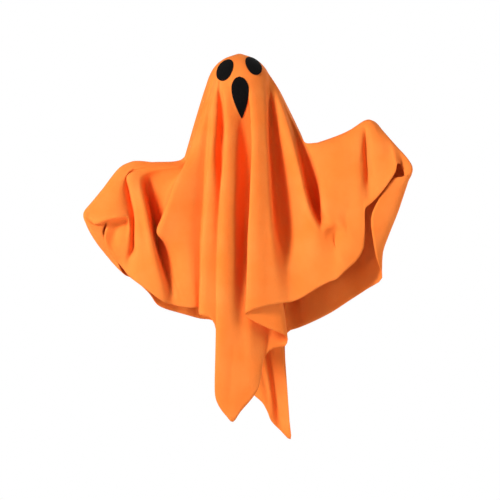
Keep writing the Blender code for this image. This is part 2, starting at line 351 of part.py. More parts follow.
        (-80.3, -50, -157.3), (-86.6, -52, -183.4), (-97, -57, -188.6), (-124.7, -61, -192.3),
        (-148.3, -64, -198), (-157.3, -70, -207.8), (-155.7, -78, -225.8), (-148.8, -86, -255.1),
        (-142.6, -91, -287.7), (-136.9, -94, -317), (-129.6, -95, -349.6), (-123.9, -93, -377.3),
        (-123.1, -91, -402.6)),
    "left_valley": ((-50, -21.3, -56.2), (-57.4, -26.9, -83.9), (-69.3, -40.6, -124.7),
        (-79.9, -51.8, -157.3), (-86.2, -53, -185), (-97.8, -57, -190.7), (-121.4, -60, -195.6),
        (-143.4, -57, -202.9), (-150, -48, -212.7), (-149.8, -40, -229), (-144.3, -34, -255.1),
        (-138.4, -34, -284.4), (-133.7, -41, -313.8), (-123.9, -55, -344.7),
        (-114.1, -71, -375.7), (-110, -81, -407)),
    "left_valley_side": ((-49.6, -22.8, -56.2), (-56.9, -28.6, -83.9), (-68.8, -42.4, -124.7),
        (-79.5, -53.5, -157.3), (-85.7, -55, -187.4), (-98.6, -58, -194), (-119.8, -59, -201.3),
        (-132.8, -54, -214.3), (-136.1, -47, -233.9), (-134.5, -43, -260), (-131.2, -42, -286.1),
        (-127.1, -47, -313.8), (-116.5, -61, -344.7), (-105.9, -75, -377.3), (-97, -80, -410.4)),
    "left_edge_back": ((-49.2, -23.9, -56.2), (-56.5, -29.8, -83.9), (-68.4, -43.7, -124.7),
        (-79.2, -54.8, -157.3), (-85.2, -57, -188.3), (-96.2, -60, -201.3), (-110, -60, -219.2),
        (-117.4, -57, -242.1), (-123.9, -54, -266.5), (-128, -53, -287.7), (-122.2, -55, -308.9),
        (-115.6, -61, -330.1), (-107.6, -70, -356.2), (-97.8, -77, -383.9), (-90.5, -80, -411.6)),
    "left_edge": ((-48.9, -25, -56.2), (-56.1, -31, -83.9), (-68, -45, -124.7),
        (-78.9, -56, -157.3), (-85.6, -66, -176.9), (-93.7, -74, -193.2), (-103.5, -82, -212.7),
        (-113.3, -88, -238.8), (-123.9, -91, -268.1), (-132.4, -92, -291.8), (-119, -76, -308.9),
        (-110, -71, -330.1), (-101.1, -75, -357.8), (-91.3, -79, -387.1), (-83.9, -80, -412.7)),
    "left_slope": ((-44.8, -28, -56.2), (-53, -35, -83.9), (-63.6, -49, -124.7),
        (-72.5, -61, -157.3), (-80.7, -71, -181.7), (-90.5, -82, -209.5), (-100.2, -89, -242.1),
        (-109.2, -90, -274.7), (-111.7, -88, -297.5), (-99.4, -80, -330.1), (-89.6, -80, -362.7),
        (-75.8, -80, -413.2)),
    "left_panel": ((-42.4, -34, -56.2), (-51.3, -40, -83.9), (-59.5, -53, -124.7),
        (-64.4, -63, -157.3), (-69.3, -72, -189.9), (-73.3, -79, -230.6), (-77.4, -81, -271.4),
        (-79.1, -82, -312.1), (-75.8, -82, -352.9), (-69.3, -78, -412.6)),
    "left_tuck": ((-40.8, -38, -56.2), (-46.5, -42, -83.9), (-50.5, -52, -124.7),
        (-52.2, -60, -157.3), (-53.8, -66, -189.9), (-54.9, -70, -230.6), (-57.9, -72, -271.4),
        (-60.6, -73, -312.1), (-61.5, -74, -352.9), (-65, -74, -413.2)),
    "ridge_a_lip": ((-39.9, -40, -56.2), (-45.6, -46, -83.9), (-47.6, -57, -124.7),
        (-49.4, -67, -157.3), (-51.7, -75, -189.9), (-54.3, -81, -230.6), (-57.2, -84, -271.4),
        (-60.3, -86, -312.1), (-61.8, -87, -352.9), (-64.4, -86, -423)),
    "ridge_a": ((-38.3, -42, -56.2), (-41.9, -49, -83.9), (-43.2, -61, -124.7),
        (-44.5, -71, -157.3), (-46.8, -79, -189.9), (-49.7, -85, -230.6), (-52.2, -88, -271.4),
        (-54.6, -90, -312.1), (-55.4, -91, -352.9), (-55.4, -90, -426.2)),
    "ridge_a_right": ((-35.9, -44, -56.2), (-36, -48, -83.9), (-36.7, -58, -124.7),
        (-39, -67, -157.3), (-39.4, -76, -189.9), (-39.9, -83, -230.6), (-42.4, -87, -271.4),
        (-44.8, -89, -312.1), (-46, -90, -352.9), (-46.5, -90, -429.5)),
    "valley_ab": ((-32.3, -43, -56.2), (-31.5, -41, -70.9), (-30.6, -40, -88.8),
        (-31.1, -44, -124.7), (-32.1, -54, -157.3), (-31.3, -63, -189.9), (-32.1, -74, -222.5),
        (-34.1, -81, -255.1), (-36.2, -85, -295.8), (-37.8, -88, -344.7), (-37.8, -89, -401.8),
        (-37.8, -88, -447.4)),
    "under_b": ((-29.2, -45, -56.2), (-26.9, -43, -70.9), (-24.6, -42, -88.8), (-24, -46, -124.7),
        (-25.3, -56, -157.3), (-27.2, -65, -189.9), (-29.8, -75, -222.5), (-31.1, -82, -255.1),
        (-32.8, -86, -295.8), (-34.6, -89, -344.7), (-36.2, -90, -401.8), (-38.3, -88, -493.1)),
    "ridge_b_lip": ((-26.9, -46.5, -56.2), (-25.3, -50.5, -70.9), (-23.6, -56, -88.8),
        (-23.3, -65, -124.7), (-24.6, -75, -157.3), (-26.9, -82, -189.9), (-29.5, -87, -222.5),
        (-30.5, -89, -255.1), (-30.8, -91, -295.8), (-32.1, -92, -344.7), (-33.7, -92, -418.1),
        (-36.3, -90, -483.3), (-39.6, -87, -538.7)),
    "ridge_b": ((-21.2, -48.5, -56.2), (-18.7, -56.5, -83.9), (-17.8, -69, -124.7),
        (-18.4, -79, -157.3), (-20, -87, -198), (-22, -92, -246.9), (-23, -94, -304),
        (-24.6, -94, -385.5), (-28.5, -92, -475.1), (-35, -88, -532.2), (-38.3, -86, -557.5)),
    "ridge_b_right": ((-13.9, -50, -59.5), (-11.4, -54, -83.9), (-9.3, -65, -124.7),
        (-9.3, -74, -157.3), (-10.6, -83, -198), (-11.6, -88, -246.9), (-12.6, -90, -304),
        (-13.9, -91, -385.5), (-17.1, -90, -475.1), (-24.4, -88, -545.2), (-31.8, -85, -572.9)),
    "tail_left": ((-6.5, -51, -59.5), (-4.9, -53, -83.9), (-2.4, -59, -124.7),
        (-3.1, -67, -157.3), (-4.4, -76, -198), (-5.4, -81, -246.9), (-6, -84, -304),
        (-7.3, -87, -385.5), (-9.8, -88, -475.1), (-15.5, -86, -548.5), (-21.2, -83, -586.8)),
}

# The left forearm's lower fold crosses five of the lines, each at the point that is named
# here by its number. These points share one row of the mesh, which keeps the fold's edge crisp.
EDGE_POINTS = {"forearm_1": 13, "forearm_2": 13, "forearm_3": 13, "forearm_4": 13,
               "forearm_5": 13}
EDGE_SHARE = 0.86
LINE_STEPS = 16
EVEN_REACH = 0.30

# The arm wire runs under the two arm fold lines, from the left hand to the right hand
ARM_ROUTE = ((-235, -86, -258), (-216, -77, -231), (-190, -64, -198), (-161, -57, -184),
             (-130, -50, -183), (-91, -38, -179), (0, 0, -145), (96, -9, -156),
             (113, -16, -157), (134, -29, -150), (172, -43, -134), (206, -50, -117),
             (229, -59, -134), (250, -70, -157), (265, -82, -179))


def cloth_paint(name, colour, roughness):
    """A plain Principled material in the part's colour."""
    material = bpy.data.materials.new(name)
    material.use_nodes = True
    shader = material.node_tree.nodes["Principled BSDF"]
    shader.inputs["Base Color"].default_value = (*colour, 1)
    shader.inputs["Roughness"].default_value = roughness
    return material


def steel_paint():
    material = cloth_paint("bright_steel", (0.60, 0.60, 0.62), 0.30)
    material.node_tree.nodes["Principled BSDF"].inputs["Metallic"].default_value = 1
    return material


def add_object(name, data, material):
    """Links an object with this mesh or curve and material to the scene."""
    item = bpy.data.objects.new(name, data)
    bpy.context.scene.collection.objects.link(item)
    data.materials.append(material)
    return item


def smooth_through(padded, steps):
    """Steps points for each gap of a smooth line; the first and last padded points only steer."""
    fine = []
    for a, b, c, d in zip(padded, padded[1:], padded[2:], padded[3:]):
        for t in np.arange(steps) / steps:
            fine.append(0.5 * (2 * b + (c - a) * t + (2 * a - 5 * b + 4 * c - d) * t ** 2
                               + (3 * b - a - 3 * c + d) * t ** 3))
    return fine


def smooth_line(lead, points, count, edge=None):
    """A smooth line on from lead through the points, as count points along it.

    They keep about the same distance on every line, and the rest of a longer line is spread
    over the last of them. With edge, that point is put at the share EDGE_SHARE of the line.
    """
    points = np.asarray(points, float)
    padded = np.vstack([lead, points, 2 * points[-1] - points[-2]])
    fine = np.array(smooth_through(padded, LINE_STEPS) + [points[-1]])
    along = np.concatenate([[0], np.cumsum(np.linalg.norm(np.diff(fine, axis=0), axis=1))])
    share = np.linspace(0, 1, count)
    stops = EVEN_REACH * share + (along[-1] - EVEN_REACH) * share ** 2
    if edge is not None:
        stops = np.interp(stops, [0, EDGE_SHARE * along[-1], along[-1]],
                          [0, along[LINE_STEPS * edge], along[-1]])
    return np.stack([np.interp(stops, along, fine[:, axis]) for axis in range(3)], axis=1)


def head_point(angle, wrap):
    """A point of the sheet on the head, wrap radians down from the crown."""
    radius = HEAD_RADIUS + SKIN
    peak = CROWN_PEAK * math.exp(-(wrap * radius / (4 * CROWN_PEAK)) ** 2)
    return HEAD_CENTRE + Vector((
        radius * math.sin(wrap) * math.sin(angle),
        -radius * math.sin(wrap) * math.cos(angle),
        radius * math.cos(wrap) + peak,
    ))


def head_angle(route):
    """The angle round the head above a fold line's first point, from the front towards +X."""
    return math.atan2(route[0][0], -route[0][1])


def sheet_grid():
    """Rows by columns of points of the sheet's mid surface."""
    first_wrap = CROWN_HOLE_RADIUS / HEAD_RADIUS
    columns = []
    for name, route in FOLD_LINES.items():
        angle = head_angle(route)
        on_head = [head_point(angle, wrap)
                   for wrap in np.linspace(first_wrap, HEAD_WRAP, HEAD_ROWS)]
        lead = head_point(angle, HEAD_WRAP - 2 * LEAD)
        below = smooth_line(lead, [on_head[-1], *(Vector(point) * MM for point in route)],
                            BODY_ROWS, EDGE_POINTS.get(name))
        columns.append(np.vstack([np.array(on_head), below[1:]]))
    return np.array(columns).swapaxes(0, 1)


def rest_on_head(points):
    """Moves what would sink into the head out to the skin around it."""
    centre = np.array(HEAD_CENTRE)
    offset = points - centre
    reach = np.linalg.norm(offset, axis=-1, keepdims=True)
    least = HEAD_RADIUS + SKIN
    return np.where(reach < least, centre + offset / reach * least, points)


def shorter_split(points, corners):
    """The two triangles of a four-cornered face, cut along its shorter diagonal."""
    a, b, c, d = corners
    if np.linalg.norm(points[a] - points[c]) < np.linalg.norm(points[b] - points[d]):
        return [(a, b, c), (a, c, d)]
    return [(a, b, d), (b, c, d)]


def build_sheet(material):
    grid = rest_on_head(sheet_grid())
    rows, columns = grid.shape[:2]
    mesh = bpy.data.meshes.new("ghost_sheet")
    faces = []
    for row in range(rows - 1):
        for column in range(columns):
            after = (column + 1) % columns
            a, b = row * columns + column, (row + 1) * columns + column
            c, d = (row + 1) * columns + after, row * columns + after
            faces += shorter_split(grid.reshape(-1, 3), (a, b, c, d))
    mesh.from_pydata([tuple(point) for point in grid.reshape(-1, 3)], [], faces)
    mesh.update()
    sheet = add_object("ghost_sheet", mesh, material)
    mesh.shade_smooth()
    wall = sheet.modifiers.new("Thickness", "SOLIDIFY")
    wall.thickness = SHEET_THICKNESS
    wall.offset = 0
    return sheet


def build_head(material):
    """A ball with a bore down its middle and a pocket at the top for the stem's eye."""
    bore = HEAD_BORE_RADIUS
    pocket_floor = HEAD_RADIUS - HEAD_POCKET_DEPTH
    profile = [(bore, pocket_floor), (HEAD_POCKET_RADIUS, pocket_floor)]
    top = math.asin(HEAD_POCKET_RADIUS / HEAD_RADIUS)
    bottom = math.pi - math.asin(bore / HEAD_RADIUS)
    for polar in np.linspace(top, bottom, 15):
        profile.append((HEAD_RADIUS * math.sin(polar), HEAD_RADIUS * math.cos(polar)))
    shape = bmesh.new()
    ring = [shape.verts.new((radius, 0, height)) for radius, height in profile]
    edges = [shape.edges.new((ring[i], ring[(i + 1) % len(ring)])) for i in range(len(ring))]
    bmesh.ops.spin(shape, geom=ring + edges, cent=(0, 0, 0), axis=(0, 0, 1),
                   angle=math.tau, steps=28, use_merge=True)
    bmesh.ops.remove_doubles(shape, verts=shape.verts, dist=1e-6)
    bmesh.ops.recalc_face_normals(shape, faces=shape.faces)
    mesh = bpy.data.meshes.new("head_ball")
    shape.to_mesh(mesh)
    shape.free()
    mesh.shade_smooth()
    ball = add_object("head_ball", mesh, material)
    ball.location = HEAD_CENTRE
    return ball


def build_wire(name, points, radius, sides, material):
    """A round wire with closed ends along the points."""
    curve = bpy.data.curves.new(name, "CURVE")
    curve.dimensions = "3D"
    curve.bevel_depth = radius
    curve.bevel_resolution = sides
    curve.use_fill_caps = True
    spline = curve.splines.new("POLY")
    spline.points.add(len(points) - 1)
    for spot, point in zip(spline.points, points):
        spot.co = (*point, 1)
    return add_object(name, curve, material)


def arm_route():
    """The arm wire's middle line, which keeps clear of the sheet whatever their thickness."""
    drop = Vector((0, 0, -ARM_WIRE_RADIUS - SHEET_THICKNESS / 2))
    route = [Vector(point) * MM + drop for point in ARM_ROUTE]
    return smooth_line(2 * route[0] - route[1], route, 64)


def stem_route(arm):
    """The stem's middle line: its eye, its straight run, and its turns round the arm wire."""
    eye_middle = HEAD_CENTRE.z + HEAD_RADIUS - HEAD_POCKET_DEPTH / 2
    points = []
    for angle in np.linspace(STEM_EYE_SWEEP, 0, 22) - math.pi / 2:
        points.append((0.0, STEM_EYE_RADIUS * math.cos(angle),
                       eye_middle + STEM_EYE_RADIUS * math.sin(angle)))
    points.append((0.0, 0.0, HEAD_CENTRE.z))
    points.append((0.0, 0.0, HEAD_CENTRE.z - HEAD_RADIUS))
    reach = ARM_WIRE_RADIUS + STEM_WIRE_RADIUS + 2 * CLEARANCE
    pitch = 2 * STEM_WIRE_RADIUS + 2 * CLEARANCE
    order = np.argsort(arm[:, 0])
    for angle in np.linspace(0, math.tau * STEM_TURNS, 18 * STEM_TURNS + 1):
        x = pitch * (angle / math.tau - STEM_TURNS / 2)
        y, z = (np.interp(x, arm[order, 0], arm[order, axis]) for axis in (1, 2))
        points.append((x, y - reach * math.cos(angle), z - reach * math.sin(angle)))
    return points


def oval():
    """The outline of an eye round its middle, as (across, up) points."""
    return [(EYE_WIDTH / 2 * math.cos(angle), EYE_HEIGHT / 2 * math.sin(angle))
            for angle in np.linspace(0, math.tau, 28, endpoint=False)]


def teardrop():
    """The outline of the mouth from its round top down to its point and up again."""
    right = []
    for share in np.linspace(0, 1, 16)[1:-1]:
        width = MOUTH_WIDTH / 2 * math.sin(math.pi * share ** 0.62) ** 0.85
        right.append((width, -share * MOUTH_LENGTH))
    return [(0, 0)] + right + [(0, -MOUTH_LENGTH)] + [(-x, z) for x, z in reversed(right)]


def filled(outline, rings=5):
    """A middle point, then rings of points that grow to the outline."""
    outline = np.array(outline)
    middle = outline.mean(axis=0)
    return [middle] + [middle + (spot - middle) * ring / rings
                       for ring in range(1, rings + 1) for spot in outline]


def eye_spots(surface, turn, roll, twist):
    """Places and normals on the sheet under an eye, aimed at the middle of the head.

    The eye sits turn away from the front, towards roll from straight up, and its long axis
    leans by twist from the line that runs from the front through the eye.
    """
    up = Vector((math.sin(roll) * math.cos(turn), math.sin(turn), math.cos(roll) * math.cos(turn)))
    out = Vector((math.sin(roll) * math.sin(turn), -math.cos(turn), math.cos(roll) * math.sin(turn)))
    across = up.cross(out)
    tall = up * math.cos(twist) + across * math.sin(twist)
    wide = across * math.cos(twist) - up * math.sin(twist)
    spots = []
    for x, z in filled(oval()):
        away = (out * HEAD_RADIUS + wide * x + tall * z).normalized()
        spot, normal, _, _ = surface.ray_cast(HEAD_CENTRE + away * 3 * HEAD_RADIUS, -away)
        spots.append((spot, normal))
    return spots


def mouth_spots(surface):
    """Places and normals on the sheet under the mouth, aimed straight back."""
    top = HEAD_CENTRE.z + MOUTH_TOP
    spots = []
    for x, z in filled(teardrop()):
        start = Vector((x - z * math.tan(MOUTH_LEAN), -10 * HEAD_RADIUS, top + z))
        spot, normal, _, _ = surface.ray_cast(start, Vector((0, 1, 0)))
        spots.append((spot, normal))
    return spots


def build_patch(name, spots, count, material):
    """A felt patch over these places; each of its rings has count points."""
    back = [spot + normal * FELT_GAP for spot, normal in spots]
    front = [spot + normal * (FELT_GAP + FELT_THICKNESS) for spot, normal in spots]
    faces = [(0, 1 + i, 1 + (i + 1) % count) for i in range(count)]
    rim = len(spots) - count
    for inner in range(1, rim, count):
        outer = inner + count
        faces += [(inner + i, outer + i, outer + (i + 1) % count, inner + (i + 1) % count)
                  for i in range(count)]
    shift = len(front)
    walls = [(rim + i, rim + shift + i, rim + shift + (i + 1) % count, rim + (i + 1) % count)
             for i in range(count)]
    behind = [tuple(shift + i for i in reversed(face)) for face in faces]
    mesh = bpy.data.meshes.new(name)
    mesh.from_pydata(front + back, [], faces + behind + walls)
    shape = bmesh.new()
    shape.from_mesh(mesh)
    bmesh.ops.recalc_face_normals(shape, faces=shape.faces)
    shape.to_mesh(mesh)
    shape.free()
    return add_object(name, mesh, material)


def build_all():
    for item in list(bpy.data.objects):
        bpy.data.objects.remove(item)
    orange = cloth_paint("orange_fabric", (1.0, 0.27, 0.045), 0.85)
    black = cloth_paint("black_felt", (0.006, 0.006, 0.007), 0.95)
    foam = cloth_paint("white_foam", (0.80, 0.80, 0.78), 0.70)
    steel = steel_paint()
    sheet = build_sheet(orange)
    build_head(foam)
    arm = arm_route()
    build_wire("arm_wire", arm, ARM_WIRE_RADIUS, 2, steel)
    build_wire("hanging_wire", stem_route(arm), STEM_WIRE_RADIUS, 1, steel)
    bpy.context.view_layer.update()
    surface = BVHTree.FromObject(sheet, bpy.context.evaluated_depsgraph_get())
    left_eye = eye_spots(surface, LEFT_EYE_TURN, LEFT_EYE_ROLL, LEFT_EYE_TWIST)
    right_eye = eye_spots(surface, RIGHT_EYE_TURN, RIGHT_EYE_ROLL, RIGHT_EYE_TWIST)
    build_patch("left_eye", left_eye, len(oval()), black)
    build_patch("right_eye", right_eye, len(oval()), black)
    build_patch("mouth", mouth_spots(surface), len(teardrop()), black)


build_all()
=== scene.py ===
"""The hanging ghost decoration with its fabric, felt, foam and wire finishes.

The sheet follows the same fold lines as the CAD part, with a finer mesh. Lengths are metres;
the fold lines are written in millimetres.
"""

import math

import bpy
import numpy as np
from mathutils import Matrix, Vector
from mathutils.bvhtree import BVHTree


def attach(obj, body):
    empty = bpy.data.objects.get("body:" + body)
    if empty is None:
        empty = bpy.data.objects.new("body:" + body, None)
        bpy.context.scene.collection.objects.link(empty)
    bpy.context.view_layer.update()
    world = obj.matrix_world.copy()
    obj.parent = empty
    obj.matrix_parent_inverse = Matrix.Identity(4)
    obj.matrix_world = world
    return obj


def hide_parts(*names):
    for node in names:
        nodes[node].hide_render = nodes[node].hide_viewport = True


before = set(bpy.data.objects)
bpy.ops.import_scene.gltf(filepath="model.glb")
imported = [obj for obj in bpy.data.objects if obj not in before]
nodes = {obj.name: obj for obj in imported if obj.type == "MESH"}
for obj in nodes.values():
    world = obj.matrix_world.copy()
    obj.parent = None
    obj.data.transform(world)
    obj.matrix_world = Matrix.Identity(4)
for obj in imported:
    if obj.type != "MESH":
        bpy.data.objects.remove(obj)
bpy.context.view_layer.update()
bpy.ops.object.select_all(action="DESELECT")

MM = 0.001

# The cloth, as cut: one square, estimated at 36 inches a side
CLOTH_SIDE = 0.914
CLOTH_THICKNESS = 0.0010
CROWN_HOLE_RADIUS = 0.0020
CROWN_PEAK = 0.0020

# The foam head, and how far the middle of the cloth lies off it
HEAD_RADIUS = 0.0500
HEAD_CENTRE = Vector((0, 0, -0.0543))
SKIN = 0.00155

# The cloth lies on the head down to HEAD_WRAP from the crown. There each fold line leaves it,
# on from the point of the head at LEAD_WRAP.
HEAD_WRAP = math.radians(64)
LEAD_WRAP = math.radians(38)
HEAD_ROWS = 22
BODY_ROWS = 110
COLUMNS_PER_FOLD = 3

# The felt face
FELT_THICKNESS = 0.0010
FELT_LIFT = 0.0003
FELT_EDGE = 0.0003
PATCH_RINGS = 12
EYE_POINTS = 72
EYE_HEIGHT = 0.0440
EYE_WIDTH = 0.0300
# Each eye's turn, roll and twist, which eye_spots explains
LEFT_EYE = [math.radians(angle) for angle in (44.6, -41.8, 43)]
RIGHT_EYE = [math.radians(angle) for angle in (54, 34.2, -27)]
MOUTH_STEPS = 36
MOUTH_LENGTH = 0.0680
MOUTH_WIDTH = 0.0280
MOUTH_TOP = 0.0142
MOUTH_LEAN = math.radians(3)
MOUTH_ROUNDNESS = 0.62
MOUTH_FULLNESS = 0.85

# The camera: a long lens, level with the middle of the ghost
METRES_PER_PIXEL = 0.00163
IMAGE_SIZE = 500
CROWN_PIXEL = (239.5, 53.5)
LENS = 250
SENSOR = 36
FAR_CLIP = 50

# The studio
STUDIO_LIGHT = 0.12
FLOOR_HEIGHT = -1.0
FLOOR_RADIUS = 2.4
GHOST_MIDDLE = Vector((0, 0, -0.25))

